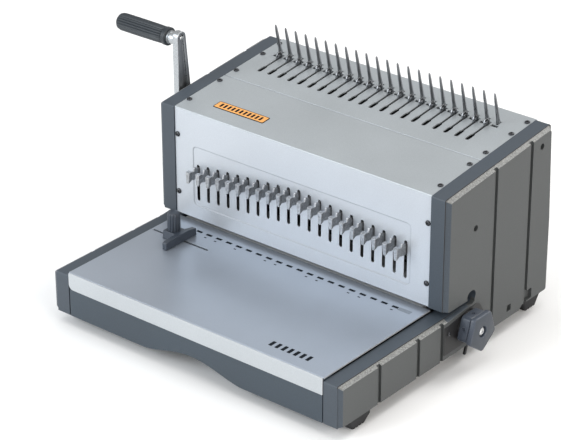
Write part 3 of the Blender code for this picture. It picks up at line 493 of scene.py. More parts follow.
def screw_mesh(radius, height):
    """One pan-head screw standing on z = 0, with a cross recess."""
    bm = bmesh.new()
    steps = 28
    profile = [(radius * 0.8, -1.2), (radius, -1.0), (radius, height * 0.25)]
    for k in range(1, 6):
        angle = math.pi / 2.0 * k / 6
        profile.append((radius * math.cos(angle), height * (0.25 + 0.75 * math.sin(angle))))
    lathe(bm, profile, "Z", 0.0, 0.0, steps)
    arms = []
    for size in ((0.72, 0.17), (0.17, 0.72)):
        arm = bmesh.new()
        a, b = radius * size[0], radius * size[1]
        top = [(-a, -b, height + 1.0), (a, -b, height + 1.0), (a, b, height + 1.0), (-a, b, height + 1.0)]
        low = [(x * 0.55, y * 0.8, height * 0.15) for x, y, _ in top]
        loft(arm, [low, top])
        arms.append(arm)
    return combined(bm, arms)


def scatter(bm, source, places):
    """Copies of the source solid into bm, each at (point, outward direction, turn)."""
    mesh = bpy.data.meshes.new("copied")
    source.to_mesh(mesh)
    source.free()
    for point, outward, turn in places:
        start = len(bm.verts)
        bm.from_mesh(mesh)
        bm.verts.ensure_lookup_table()
        tilt = Vector(outward).to_track_quat("Z", "Y").to_matrix().to_4x4()
        matrix = Matrix.Translation(point) @ tilt @ Matrix.Rotation(turn, 4, "Z")
        bmesh.ops.transform(bm, matrix=matrix, verts=bm.verts[start:])
    bpy.data.meshes.remove(mesh)


UP = (0.0, -math.sin(SLOPE), math.cos(SLOPE))


def cover_screws():
    """Black pan-head screws on the panel, the top and the rear sheet."""
    places = []
    for side in (-1, 1):
        for z in PANEL_SCREW_ZS:
            places.append(((side * PANEL_SCREW_X, -0.1, z), (0.0, -1.0, 0.0), 0.4 * side + z))
        for y in COVER_SCREW_YS:
            places.append(((side * COVER_SCREW_X, y, top_z(y) + 0.1), UP, 0.7 * side + y))
    bm = bmesh.new()
    scatter(bm, screw_mesh(SCREW_RADIUS, SCREW_HEIGHT), places)
    piece("cover_screws", bm, "screw", "frame")
    places = []
    for side in (-1, 1):
        for z in REAR_SCREW_ZS:
            places.append(((side * REAR_SCREW_X, REAR_FACE_Y, z), (0.0, 1.0, 0.0), 0.3 * side + z))
    bm = bmesh.new()
    scatter(bm, screw_mesh(SCREW_RADIUS, SCREW_HEIGHT), places)
    piece("rear_screws", bm, "screw", "frame")


# ---------------------------------------------------------------- housing

def cap_outline(inset):
    """Side view of a cap; the pad's outer face is the same outline drawn in by the inset."""
    front = FRONT_Y + 0.6 * inset
    rear = REAR_LOW_Y - 1.2 * inset
    rear_top = REAR_Y - 1.2 * inset
    drop = 0.64 * inset
    return rounded([
        (front, SKIRT_Z + 0.5 * inset, 1.0),
        (REAR_LOW_Y - 58.0, SKIRT_Z + 0.5 * inset, 0.0),
        (REAR_LOW_Y - 52.0, PAD_REAR_Z + 0.2 * inset, 0.0),
        (rear, PAD_REAR_Z + 0.2 * inset, 2.5),
        (rear, 110.0, 0.0),
        (rear_top, TOP_REAR_Z - drop, 4.0),
        (-1.5 + 0.8 * inset, TOP_Z - drop, 2.0),
        (-1.5 + 0.8 * inset, PANEL_Z - 1.0, 1.5),
        (THROAT_END_Y - 6.0, PANEL_Z - 1.0, 0.0),
        (THROAT_END_Y - 6.0, THROAT_TOP_Z, 0.0),
        (THROAT_END_Y, THROAT_TOP_Z - 4.0, 0.0),
        (THROAT_END_Y, RIM_Z + 2.0, 0.0),
        (THROAT_END_Y - 4.0, RIM_Z, 0.0),
        (40.0, RIM_Z, 0.0),
        (2.0, RIM_Z - drop, 0.0),
        (front, RIM_Z - drop, 2.0),
    ])


def side_cap(side):
    """Moulded side cover: flat strip, grainy bevel, raised pads split by grooves, and its openings; the
    upward bevel faces, the pads and the small step carry painted light and shade.
    """
    bm = bmesh.new()
    plain = cap_outline(0.0)
    raised = cap_outline(PAD_X - STRIP_X)
    rings = []
    for x, outline in ((COVER_X + 0.3, plain), (STRIP_X, plain), (STRIP_X + 0.15, cap_outline(1.5)),
                       (PAD_X, raised)):
        rings.append([(side * x, y, z) for y, z in outline])
    loft(bm, rings)
    cuts = []
    inner = sorted((side * (COVER_X - 5.0), side * (PAD_X - 8.5)))
    lower = [(FRONT_Y + 8.0, 23.0), (REAR_Y - 10.0, 27.0), (REAR_Y - 10.0, 57.0), (FRONT_Y + 8.0, 57.0)]
    upper = [(THROAT_END_Y + 6.0, 54.0), (REAR_Y - 10.0, 54.0), (REAR_Y - 10.0, 206.0), (8.0, 192.0),
             (8.0, 82.0), (THROAT_END_Y + 6.0, 82.0)]
    for outline in (lower, upper):
        hollow = bmesh.new()
        prism(hollow, outline, "X", *inner)
        cuts.append(hollow)
    depth = sorted((side * (PAD_X - 3.0), side * (PAD_X + 5.0)))
    low = SKIRT_Z - 5.0
    ends = [(y, RIM_Z + 1.0) for y in LOW_GROOVE_YS] + [(y, top_z(y) + 1.0) for y in HIGH_GROOVE_YS]
    for y, high in ends:
        groove = bmesh.new()
        prism(groove, round_box(y - GROOVE_HALF, y + GROOVE_HALF, low, high, 0.9, 3), "X", *depth)
        cuts.append(groove)
    shallow = sorted((side * (PAD_X - 4.0), side * (PAD_X + 5.0)))
    for y, z in PAD_WELLS:
        well = bmesh.new()
        prism(well, circle(PAD_WELL_RADIUS, 28, y, z), "X", *shallow)
        cuts.append(well)
    pocket = bmesh.new()
    prism(pocket, stadium(36.4, 51.6, 67.0, 80.2, 8), "X", *sorted((side * 186.0, side * (PAD_X + 5.0))))
    cuts.append(pocket)
    square = bmesh.new()
    prism(square, round_box(111.6, 119.2, 25.2, 33.0, 1.0, 3), "X", *shallow)
    cuts.append(square)
    notch = bmesh.new()
    prism(notch, round_box(148.0, 158.5, 23.5, 36.0, 2.0, 4), "X", *shallow)
    cuts.append(notch)
    bore = bmesh.new()
    reach = sorted((side * (COVER_X - 5.0), side * (PAD_X + 5.0)))
    if side < 0:
        prism(bore, circle(7.0, 36, LEVER_Y, LEVER_Z), "X", *reach)
    else:
        prism(bore, circle(5.0, 36, KNOB_Y, KNOB_Z), "X", *reach)
    cuts.append(bore)
    made = combined(bm, cuts)
    name = "right_cap" if side > 0 else "left_cap"

    # Upward-facing bevel faces take the lighter bevel look: a painted highlight of the light from above.
    def on_lit_bevel(centre, normal):
        outer = STRIP_X + 0.05 < side * centre.x < PAD_X - 0.05
        return outer and 0.25 < side * normal.x < 0.9 and normal.z > 0.45

    # The pads' outer faces and the walls cut into them take the lighter pad copy of the slate: painted light.
    def on_pad_painted_light(centre, normal):
        return side * centre.x > PAD_X - 4.1 and (side * normal.x > 0.9 or abs(normal.x) < 0.1)

    # The narrow outward step face between strip and bevel is coloured black: painted shade in the step.
    def on_shaded_step(centre, normal):
        return STRIP_X < side * centre.x < STRIP_X + 0.15 and side * normal.x > 0.9 and centre.z > RIM_Z - 3.0
    piece(f"{name}_moulding", made, "slate", "frame", [name], 0.45, 2,
          [("slate_lit_bevel", on_lit_bevel), ("slate_pad", on_pad_painted_light), ("black", on_shaded_step)])
    places = []
    for y, z in PAD_WELLS:
        places.append(((side * (PAD_X - 3.9), y, z), (side, 0.0, 0.0), y))
    bm = bmesh.new()
    scatter(bm, screw_mesh(2.9, 1.6), places)
    piece(f"{name}_screws", bm, "screw", "frame")


def front_skirt():
    """Moulded front under the tray with its arched hand hold."""
    bm = bmesh.new()
    outline = [(FRONT_Y, SKIRT_Z), (FRONT_Y + 3.5, SKIRT_Z), (FRONT_Y + 3.5, TRAY_Z - 6.0),
               (FRONT_Y + 16.0, TRAY_Z - 6.0), (FRONT_Y + 16.0, TRAY_Z - SHEET - 0.3),
               (FRONT_Y + 1.2, TRAY_Z - SHEET - 0.3), (FRONT_Y + 1.2, STRIP_Z - 0.3),
               (FRONT_Y, STRIP_Z - 0.3)]
    prism(bm, outline, "X", -COVER_X + 0.9, COVER_X - 0.9)
    arch = bmesh.new()
    half_width = 68.0
    points = [(-half_width * 1.1, SKIRT_Z - 5.0)]
    steps = 40
    for i in range(steps + 1):
        x = -half_width + 2.0 * half_width * i / steps
        points.append((x, SKIRT_Z + 12.5 * (0.5 + 0.5 * math.cos(math.pi * x / half_width)) ** 0.8))
    points.append((half_width * 1.1, SKIRT_Z - 5.0))
    prism(arch, points, "Y", FRONT_Y - 5.0, FRONT_Y + 10.0)
    made = combined(bm, [arch])
    piece("front_skirt_moulding", made, "skirt", "frame", ["front_skirt"], 0.5)


def tray():
    """Folded tray: fold line along its front edge, a front strip with one round corner, the guide's slot."""
    top = bmesh.new()
    outline = rounded([(FRONT_Y + 1.5, TRAY_Z - SHEET, 0.0), (2.5, TRAY_Z - SHEET, 0.0), (2.5, TRAY_Z, 0.0),
                       (FRONT_Y + 1.5, TRAY_Z, 0.5)], 3)
    prism(top, outline, "X", -COVER_X, COVER_X)
    slot = bmesh.new()
    prism(slot, stadium(GUIDE_SLOT_X0, GUIDE_SLOT_X1, GUIDE_Y - 1.5, GUIDE_Y + 1.5, 8), "Z", TRAY_Z - 5.0,
          TRAY_Z + 5.0)

    # The tray's end faces take the bright look: a painted highlight along the tray's side edges.
    def on_side(_, normal):
        return abs(normal.x) > 0.9
    piece("tray_top", combined(top, [slot]), "tray", "frame", ["tray_plate"], 0.3, 2,
          [("bright", on_side)])
    strip = bmesh.new()
    half = COVER_X - 0.5
    high = TRAY_Z - 0.1
    face = rounded([(-half, STRIP_Z, 6.0), (half, STRIP_Z, 1.0), (half, high, 0.4), (-half, high, 1.5)], 6)
    prism(strip, face, "Y", FRONT_Y - 0.6, FRONT_Y + 0.9)
    piece("tray_front_strip", strip, "strip", "frame", (), 0.45, 3)


def tray_marks():
    """Printed marks for the holes, reference marks below some of them, a plain bar row and the end mark."""
    bm = bmesh.new()
    low, high = TRAY_Z - 0.02, TRAY_Z + 0.05
    for i in range(1, SLOT_COUNT):
        x = slot_x(i)
        outline = round_box(x - HOLE_MARK_HALF, x + HOLE_MARK_HALF, HOLE_MARK_Y0, HOLE_MARK_Y1, 0.4, 3)
        prism(bm, outline, "Z", low, high)
    for i in REFERENCE_MARKS:
        x = slot_x(i)
        prism(bm, round_box(x - 1.6, x + 1.6, -22.8, -21.2, 0.3, 2), "Z", low, high)
    for k in range(BAR_COUNT):
        x = BAR_X0 + k * BAR_PITCH
        prism(bm, round_box(x - BAR_HALF, x + BAR_HALF, -159.5, -150.0, 0.7, 3), "Z", low, high)
    piece("tray_ink_marks", bm, "ink", "frame")
    bm = bmesh.new()
    prism(bm, round_box(147.5, 163.5, -18.6, -12.4, 0.5, 3), "Z", low, high)
    piece("tray_grey_mark", bm, "grey_ink", "frame")


def front_panel():
    """Front sheet with its pressed-in field and 21 round-ended slots."""
    bm = bmesh.new()
    block(bm, -COVER_X, COVER_X, 0.0, SHEET, PANEL_Z, TOP_Z - 1.7)
    field = bmesh.new()
    outer = round_box(-149.9, 149.9, 87.9, 160.6, 5.6, 8)
    inner = round_box(-148.75, 148.75, 89.05, 159.45, 4.45, 8)
    rings = ((outer, -0.6), (outer, 0.0), (inner, 0.8))
    loft(field, [[(x, y, z) for x, z in outline] for outline, y in rings])
    cuts = [field]
    for i in range(SLOT_COUNT):
        x = slot_x(i)
        rise = slot_rise(i)
        slot = bmesh.new()
        outline = stadium(x - SLOT_HALF, x + SLOT_HALF, SLOT_LOW_Z + rise, SLOT_HIGH_Z + rise, 8)
        prism(slot, outline, "Y", -5.0, 8.0)
        cuts.append(slot)

    # The sloped fold faces take the darker fold look: painted shade on the same sheet.
    def on_fold(centre, normal):
        return centre.y < 0.9 and -0.95 < normal.y < -0.5
    piece("front_sheet", combined(bm, cuts), "panel", "frame", ["front_panel"], 0.22, 2,
          [("fold", on_fold)])


def top_covers():
    """Two folded sheets; the rear one has the hook slots, the tines' holes and their cross slots."""
    bm = bmesh.new()
    outline = rounded([(0.0, TOP_Z - 1.7, 0.0), (*on_top(0.0, 0.0), 1.5), (*on_top(SEAM_Y - 0.4, 0.0), 0.7),
                       (*on_top(SEAM_Y - 0.4, -3.2), 0.0), (*on_top(SEAM_Y - 1.9, -3.2), 0.0),
                       (*on_top(SEAM_Y - 1.9, -SHEET), 0.0), (*on_top(2.0, -SHEET), 0.0),
                       (2.0, TOP_Z - 1.7, 0.0)], 5)
    prism(bm, outline, "X", -COVER_X, COVER_X)
    piece("top_front_sheet", bm, "silver", "frame", ["top_front_cover"])
    bm = bmesh.new()
    rear = REAR_Y - 0.5
    outline = rounded([(*on_top(SEAM_Y + 0.3, 0.0), 0.7), (*on_top(rear, 0.0), 1.0),
                       (*on_top(rear, -14.0), 0.0),
                       (*on_top(rear - SHEET, -14.0), 0.0), (*on_top(rear - SHEET, -SHEET), 0.0),
                       (*on_top(SEAM_Y + 0.3, -SHEET), 0.0)], 5)
    prism(bm, outline, "X", -COVER_X, COVER_X)
    cuts = []
    for i in range(SLOT_COUNT):
        x = HOOK_X0 + i * PITCH
        narrow = bmesh.new()
        prism(narrow, on_top_box(122.0, 157.0, -6.0, 4.0), "X", x - 1.5, x + 1.5)
        cuts.append(narrow)
        wide = bmesh.new()
        outline = stadium(x - 2.6, x + 2.6, 111.5, 126.0, 5)
        loft(wide, [[(a, b, top_z(b) + rise) for a, b in outline] for rise in (-6.0, 4.0)])
        cuts.append(wide)
    for i in range(TINE_COUNT):
        x = TINE_X0 + i * PITCH
        hole = bmesh.new()
        prism(hole, on_top_box(TINE_Y - 3.4, TINE_Y + 4.4, -6.0, 4.0), "X", x - 1.6, x + 1.6)
        cuts.append(hole)
        cross = bmesh.new()
        prism(cross, on_top_box(149.4, 153.6, -6.0, 4.0), "X", x - 4.6, x + 4.2)
        cuts.append(cross)
    made = combined(bm, cuts)
    piece("top_rear_sheet", made, "silver", "frame", ["top_rear_cover"], 0.15, 1)


def label_plate():
    """Blank orange plate with a dark rim and a plain row of punched-hole bars."""
    def on_cover(x, y, height):
        return (x, *on_top(y, height))

    centre_x, centre_y, half_x, half_y = -103.0, 28.4, 35.6, 6.9
    bm = bmesh.new()
    outline = round_box(centre_x - half_x, centre_x + half_x, centre_y - half_y, centre_y + half_y, 1.8, 5)
    loft(bm, [[on_cover(x, y, h) for x, y in outline] for h in (-0.1, 0.35)])
    piece("label_rim", bm, "ink", "frame", (), 0.12, 1)
    bm = bmesh.new()
    outline = round_box(centre_x - half_x + 1.0, centre_x + half_x - 1.0, centre_y - half_y + 1.0,
                        centre_y + half_y - 1.0, 1.1, 5)
    loft(bm, [[on_cover(x, y, h) for x, y in outline] for h in (0.1, 0.45)])
    piece("label_field", bm, "orange", "frame", (), 0.08, 1)
    bm = bmesh.new()
    for k in range(11):
        x = centre_x + (k - 5) * 5.6
        outline = round_box(x - 1.5, x + 1.5, centre_y - 3.6, centre_y + 3.6, 0.6, 3)
        loft(bm, [[on_cover(a, b, h) for a, b in outline] for h in (0.3, 0.52)])
    piece("label_bars", bm, "ink", "frame")


def rear_sheet():
    """Rear sheet with vents and the electrical cut-outs."""
    bm = bmesh.new()
    block(bm, -172.0, 172.0, REAR_FACE_Y - SHEET, REAR_FACE_Y, 43.0, 212.0)
    cuts = []
    for i in range(9):
        x = -60.0 + i * 12.0
        vent = bmesh.new()
        prism(vent, stadium(x - 2.0, x + 2.0, 130.0, 170.0, 8), "Y", 180.0, 190.0)
        cuts.append(vent)
    for x0, x1, z0, z1 in ((102.0, 130.0, 68.0, 88.0), (140.0, 154.0, 67.0, 89.0)):
        window = bmesh.new()
        block(window, x0, x1, 180.0, 190.0, z0, z1)
        cuts.append(window)
    hole = bmesh.new()
    prism(hole, circle(6.5, 32, -130.0, 78.0), "Y", 180.0, 190.0)
    cuts.append(hole)
    piece("rear_sheet", combined(bm, cuts), "silver", "frame", ["rear_cover"], 0.25)


def feet():
    """Tapered rubber feet with a grooved sole."""
    for node in ("foot_front_left", "foot_mid_left", "foot_rear_left", "foot_front_right", "foot_mid_right",
                 "foot_rear_right"):
        low, high = cad(node)
        x, y = (low.x + high.x) / 2.0, (low.y + high.y) / 2.0
        bm = bmesh.new()
        rings = []
        for half_x, half_y, z in ((6.0, 10.0, 0.0), (8.0, 17.0, high.z - 4.7), (8.0, 17.0, high.z)):
            outline = round_box(x - half_x, x + half_x, y - half_y, y + half_y, 2.2, 4)
            rings.append([(a, b, z) for a, b in outline])
        loft(bm, rings)
        cuts = []
        for k in (-1, 0, 1):
            groove = bmesh.new()
            block(groove, x - 9.0, x + 9.0, y + 5.0 * k - 0.7, y + 5.0 * k + 0.7, -1.0, 0.9)
            cuts.append(groove)
        piece(f"{node}_pad", combined(bm, cuts), "rubber", "frame", [node], 0.4)


# ---------------------------------------------------------------- punch tabs

def die_tab(index):
    """Zinc die tab: thin stepped arm and a flared wedge head with a bright front facet."""
    x = slot_x(index)
    z = TAB_Z + slot_rise(index)
    bm = bmesh.new()
    arm = rounded([(10.0, z - 6.0, 0.0), (10.0, z + 6.5, 0.0), (-2.6, z + 6.5, 0.4), (-3.2, z + 8.6, 0.8),
                   (-6.4, z + 8.6, 1.2), (-7.4, z + 4.6, 0.8), (-12.4, z + 4.2, 0.0), (-12.4, z - 4.0, 0.0),
                   (-8.0, z - 5.4, 0.6), (-3.0, z - 6.0, 0.0)], 4)
    prism(bm, arm, "X", x - 1.0, x + 1.0)
    head = bmesh.new()
    rings = []
    for y, half_top, half_low, high, low in ((-10.4, 1.15, 1.15, 4.6, -3.6), (-12.4, 2.7, 2.0, 6.9, -3.6),
                                             (-13.2, 2.9, 2.2, 7.0, -4.2), (-16.9, 2.8, 1.8, 6.6, -6.4),
                                             (-17.4, 2.5, 1.5, 6.2, -6.6)):
        waist = half_top * 0.9
        rings.append([(x - half_low, y, z + low), (x + half_low, y, z + low), (x + waist, y, z + 1.0),
                      (x + half_top, y, z + high), (x - half_top, y, z + high), (x - waist, y, z + 1.0)])
    loft(head, rings)
    number = f"{index + 1:02d}"
    made = combined(bm, [head], "UNION")
    piece(f"die_tab_{number}_casting", made, "zinc", f"tab_{number}", [f"die_tab_{number}"], 0.28)


# ---------------------------------------------------------------- comb opener

def tines():
    """Tapered upright tines with a shouldered foot, on their bar under the cover."""
    bar = bmesh.new()
    prism(bar, on_top_box(153.0, 176.0, -14.0, -8.0), "X", -163.0, 163.0)
    piece("tine_bar", bar, "steel", "frame", ["comb_tines"], 0.5)
    bm = bmesh.new()
    stations = ((-13.0, 2.2, 1.2), (-2.0, 2.2, 1.2), (1.6, 2.8, 1.6), (4.6, 2.6, 1.5), (7.0, 2.2, 1.4),
                (16.0, 2.05, 1.4), (27.0, 1.8, 1.3), (34.0, 1.5, 1.15), (37.0, 1.25, 1.0),
                (38.7, 0.8, 0.75), (TINE_LENGTH, 0.3, 0.3))
    for i in range(TINE_COUNT):
        x = TINE_X0 + i * PITCH
        rings = []
        for along, half_y, half_x in stations:
            y = TINE_Y - along * math.sin(TINE_LEAN)
            z = top_z(TINE_Y) + along * math.cos(TINE_LEAN)
            soft = 0.55
            ring = []
            for a, b in ((-1, -soft), (-soft, -1), (soft, -1), (1, -soft), (1, soft), (soft, 1), (-soft, 1),
                         (-1, soft)):
                ring.append((x + a * half_x, y + b * half_y, z))
            rings.append(ring)
        loft(bm, rings)
    piece("tines", bm, "tine", "frame")


def hooks():
    """Pressed hooks with side lips, one in each slot beside its tine, on the sliding plate and its lugs."""
    plate = bmesh.new()
    prism(plate, on_top_box(PIN_REST_Y - 6.0, 149.0, -6.0, -4.0), "X", -151.0, 151.0)
    added = []
    for side in (-1, 1):
        lug = bmesh.new()
        prism(lug, on_top_box(PIN_REST_Y - 5.5, PIN_REST_Y + 5.5, PIN_HEIGHT - 5.0, -5.0), "X",
              *sorted((side * 146.0, side * 151.5)))
        pin = bmesh.new()
        reach = sorted((side * 148.0, side * 163.0))
        prism(pin, circle(3.0, 28, *on_top(PIN_REST_Y, PIN_HEIGHT)), "X", *reach)
        added += [lug, pin]
    piece("hook_plate", combined(plate, added, "UNION"), "blued", "hooks", ["hook_slide"], 0.3)
    bm = bmesh.new()
    profile = rounded([(*on_top(143.6, -5.0), 0.0), (*on_top(148.0, -5.0), 0.0), (*on_top(148.2, 3.2), 0.6),
                       (*on_top(149.6, 4.4), 0.5), (*on_top(152.6, 3.0), 0.4), (*on_top(153.8, 4.2), 0.5),
                       (*on_top(151.6, 7.4), 1.2), (*on_top(146.2, 7.8), 1.4), (*on_top(144.0, 4.4), 0.8)], 3)
    for i in range(SLOT_COUNT):
        x = HOOK_X0 + i * PITCH
        prism(bm, profile, "X", x - 0.75, x + 0.75)
    piece("hook_blades", bm, "tine", "hooks", (), 0.18, 1)
    lips = bmesh.new()
    for i in range(SLOT_COUNT):
        x = HOOK_X0 + i * PITCH
        prism(lips, on_top_box(145.2, 147.6, 4.0, 5.4), "X", x - 2.8, x + 2.8)
        prism(lips, on_top_box(149.8, 151.6, 0.4, 6.4), "X", x + 0.6, x + 2.6)
    piece("hook_lips", lips, "tine", "hooks", (), 0.3, 2)


def lever():
    """Cast lever arm with a recessed channel, a boss and collar for the grip, and a clamped hub."""
    steps = 24
    outline = []
    for i in range(steps + 1):
        angle = math.pi * i / steps
        outline.append((GRIP_Y + 7.0 * math.cos(angle), ARM_TIP_Z + 7.0 * math.sin(angle)))
    for i in range(steps + 1):
        angle = math.pi + math.pi * i / steps
        outline.append((LEVER_Y + 12.0 * math.cos(angle), LEVER_Z + 12.0 * math.sin(angle)))
    bm = bmesh.new()
    prism(bm, outline, "X", LEVER_FAR, LEVER_NEAR)
    bore = bmesh.new()
    prism(bore, circle(6.3, 40, LEVER_Y, LEVER_Z), "X", LEVER_FAR - 5.0, LEVER_NEAR + 5.0)
    channel = bmesh.new()
    prism(channel, rounded([(GRIP_Y - 2.2, ARM_TIP_Z + 2.8, 2.1), (GRIP_Y + 3.0, ARM_TIP_Z + 2.8, 2.1),
                            (LEVER_Y + 5.0, LEVER_Z + 20.0, 4.0), (LEVER_Y - 3.6, LEVER_Z + 20.0, 4.0)], 6),
          "X", LEVER_NEAR - 3.2, LEVER_NEAR + 5.0)

    def on_side(_, normal):
        return normal.x > 0.9
    made = combined(bm, [bore, channel])
    piece("lever_arm", made, "cast", "opener", ["opener_lever"], 0.9, 3,
          [("cast_side", on_side)])
    bm = bmesh.new()
    lathe(bm, [(6.4, LEVER_FAR + 1.0), (6.8, LEVER_FAR - 0.4), (6.8, LEVER_FAR - 5.6), (6.2, LEVER_FAR - 6.2),
               (6.2, LEVER_FAR - 7.4), (7.6, LEVER_FAR - 7.8), (7.6, LEVER_FAR - 9.2),
               (4.0, LEVER_FAR - 9.6)],
          "X", GRIP_Y, GRIP_Z, 48)
    piece("lever_boss", bm, "cast", "opener")
    bm = bmesh.new()
    lathe(bm, [(1.5, LEVER_NEAR - 2.6), (2.4, LEVER_NEAR - 2.2), (2.4, LEVER_NEAR - 0.6),
               (1.7, LEVER_NEAR - 0.1)], "X", GRIP_Y + 0.4, ARM_TIP_Z - 1.0, 28)
    piece("lever_pin", bm, "steel", "opener")
    bm = bmesh.new()
    lathe(bm, [(5.0, LEVER_FAR + 1.0), (9.0, LEVER_FAR + 0.2), (9.0, LEVER_FAR - 1.2), (8.4, LEVER_FAR - 1.8),
               (5.0, LEVER_FAR - 1.8)], "X", LEVER_Y, LEVER_Z, 48)
    scatter(bm, screw_mesh(4.6, 2.2), [((LEVER_FAR - 1.8, LEVER_Y, LEVER_Z), (-1.0, 0.0, 0.0), 0.5)])
    piece("lever_hub_screw", bm, "screw", "opener")


def grip():
    """Ribbed grip with a smooth ring at its inner end and a domed outer end."""
    bm = bmesh.new()
    profile = [(7.4, GRIP_X0 + 0.7), (9.6, GRIP_X0 + 0.4), (10.5, GRIP_X0 - 0.4), (10.5, GRIP_X0 - 4.6),
               (10.0, GRIP_X0 - 5.2), (9.3, GRIP_X0 - 5.6), (9.3, GRIP_X0 - 6.6), (9.9, GRIP_X0 - 7.4),
               (10.2, GRIP_X0 - 20.0), (10.3, GRIP_X0 - 45.0), (10.3, GRIP_X1 + 9.0), (10.0, GRIP_X1 + 5.0),
               (9.2, GRIP_X1 + 2.4), (7.6, GRIP_X1 + 0.8), (5.0, GRIP_X1 + 0.15), (2.0, GRIP_X1)]
    lathe(bm, profile, "X", GRIP_Y, GRIP_Z, 160, 1.0, 20, (GRIP_X1 + 4.0, GRIP_X0 - 6.0))
    piece("grip_ribbed", bm, "grip", "grip", ["lever_grip"])


# ---------------------------------------------------------------- margin knob and its bracket

def pentagon(radius, corner):
    """Outline of the knob, point down."""
    corners = []
    for i in range(5):
        angle = math.radians(-90.0 + 72.0 * i)
        corners.append((KNOB_Y + radius * math.cos(angle), KNOB_Z + radius * math.sin(angle), corner))
    return rounded(corners, 8)


def knob():
    """Five-sided margin knob with a barrel, a neck groove, a flange and its shaft's bright end."""
    bm = bmesh.new()
    rings = []
    for x, radius in ((KNOB_X0, 20.8), (KNOB_X0 + 1.0, 21.8), (KNOB_X1 - 8.0, 22.0), (KNOB_X1 - 7.5, 21.6),
                      (KNOB_X1 - 7.2, 20.8), (KNOB_X1 - 6.2, 20.8), (KNOB_X1 - 6.0, 23.4),
                      (KNOB_X1 - 5.6, 24.0), (KNOB_X1 - 1.0, 24.0), (KNOB_X1 - 0.3, 23.5), (KNOB_X1, 22.8)):
        rings.append([(x, y, z) for y, z in pentagon(radius, 4.0)])
    loft(bm, rings)
    well = bmesh.new()
    lathe(well, [(4.6, KNOB_X1 - 5.0), (6.3, KNOB_X1 - 4.8), (6.3, KNOB_X1 - 0.6), (7.2, KNOB_X1 + 0.4),
                 (7.2, KNOB_X1 + 4.0)], "X", KNOB_Y, KNOB_Z, 40)
    dimples = []
    for i in range(5):
        angle = math.radians(-54.0 + 72.0 * i)
        reach = 17.6
        dimple = bmesh.new()
        lathe(dimple, [(1.9, -1.6), (2.4, 0.0), (2.4, 6.0)], "Z", 0.0, 0.0, 24)
        across, rise = math.cos(angle), math.sin(angle)
        turned = bmesh.new()
        point = (KNOB_X0 + 6.0, KNOB_Y + reach * across, KNOB_Z + reach * rise)
        scatter(turned, dimple, [(point, (0.0, across, rise), 0.0)])
        dimples.append(turned)

    # The knob's outward, side-lit face takes the darker 'dark' look and the barrel the lighter copy: painted
    # shade and painted light by face direction.
    def on_side_lit_face(_, normal):
        return normal.x > 0.9
    made = combined(bm, [well] + dimples)
    piece("knob_body", made, "knob_barrel_brightened", "margin", ["margin_knob"], 0.0, 2, [("dark", on_side_lit_face)])
    bm = bmesh.new()
    scatter(bm, screw_mesh(4.5, 2.8), [((KNOB_X1 - 3.6, KNOB_Y, KNOB_Z), (1.0, 0.0, 0.0), 0.4)])
    piece("knob_screw", bm, "bright", "margin")


def knob_bracket():
    """Black bracket on the right cap behind the knob, with its screws and the small pointer below it."""
    bm = bmesh.new()
    plate = rounded([(-3.6, 22.0, 2.0), (62.0, 22.0, 6.0), (68.0, 46.0, 14.0), (58.0, 62.0, 12.0),
                     (42.0, 62.0, 3.0), (4.0, 56.0, 2.0), (-3.6, 56.0, 1.0)], 6)
    prism(bm, plate, "X", PAD_X - 3.0, PAD_X + 0.5)
    piece("knob_bracket", bm, "black", "frame", (), 0.4)
    bm = bmesh.new()
    lathe(bm, [(17.0, PAD_X), (17.0, PAD_X + 1.4), (16.2, PAD_X + 2.1)], "X", KNOB_Y, KNOB_Z, 48)
    piece("knob_escutcheon", bm, "black", "frame")
    bm = bmesh.new()
    scatter(bm, screw_mesh(2.5, 1.5), [((PAD_X + 0.5, 4.5, 45.8), (1.0, 0.0, 0.0), 0.3)])
    piece("knob_bracket_screw", bm, "screw", "frame")
    bm = bmesh.new()
    pointer = rounded([(34.6, 6.6, 0.8), (37.8, 6.6, 0.8), (42.0, 20.0, 0.8), (38.8, 20.0, 0.8)], 3)
    prism(bm, pointer, "X", PAD_X - 2.4, PAD_X + 0.2)
    piece("knob_pointer", bm, "black", "frame", (), 0.2)


# ---------------------------------------------------------------- edge guide

def guide():
    """Edge guide: a fence with rounded nose, the block under the clamp knob, and the fluted knob."""
    low = TRAY_Z + 0.3
    bm = bmesh.new()
    fence = rounded([(-73.0, low, 0.6), (-23.4, low, 0.6), (-23.4, low + 8.2, 1.0), (-27.0, low + 8.8, 0.0),
                     (-36.0, low + 10.4, 0.0), (-52.0, low + 10.4, 0.0), (-66.0, low + 9.8, 0.0),
                     (-73.0, low + 8.6, 1.6)], 4)
    prism(bm, fence, "X", -132.0, -126.0)
    seat = bmesh.new()
    prism(seat, [(-53.0, low), (-33.0, low), (-34.5, low + 9.4), (-51.5, low + 9.4)], "X", -150.0, -131.0)
    made = combined(bm, [seat], "UNION")
    piece("guide_fence", made, "dark", "guide", ["edge_guide"], 0.8, 3)
    bm = bmesh.new()
    base = low + 9.4 + 0.3
    profile = [(2.0, base - 0.2), (6.9, base), (7.4, base + 0.8), (7.4, base + 17.6), (7.1, base + 19.4),
               (6.2, base + 20.9), (4.6, base + 21.8), (2.4, base + 22.2), (1.2, base + 22.0)]
    lathe(bm, profile, "Z", GUIDE_X, GUIDE_Y, 144, 0.9, 12, (base + 0.5, base + 20.0))
    piece("guide_knob_fluted", bm, "dark", "guide_clamp", ["guide_knob"])
    bm = bmesh.new()
    under = TRAY_Z - SHEET
    lathe(bm, [(1.2, base + 1.0), (1.2, under - 0.2), (5.0, under - 0.3), (5.0, under - 3.0),
               (2.0, under - 3.2)], "Z", GUIDE_X, GUIDE_Y, 32)
    piece("guide_stud", bm, "steel", "guide_clamp")


# ---------------------------------------------------------------- inside, underneath and rear

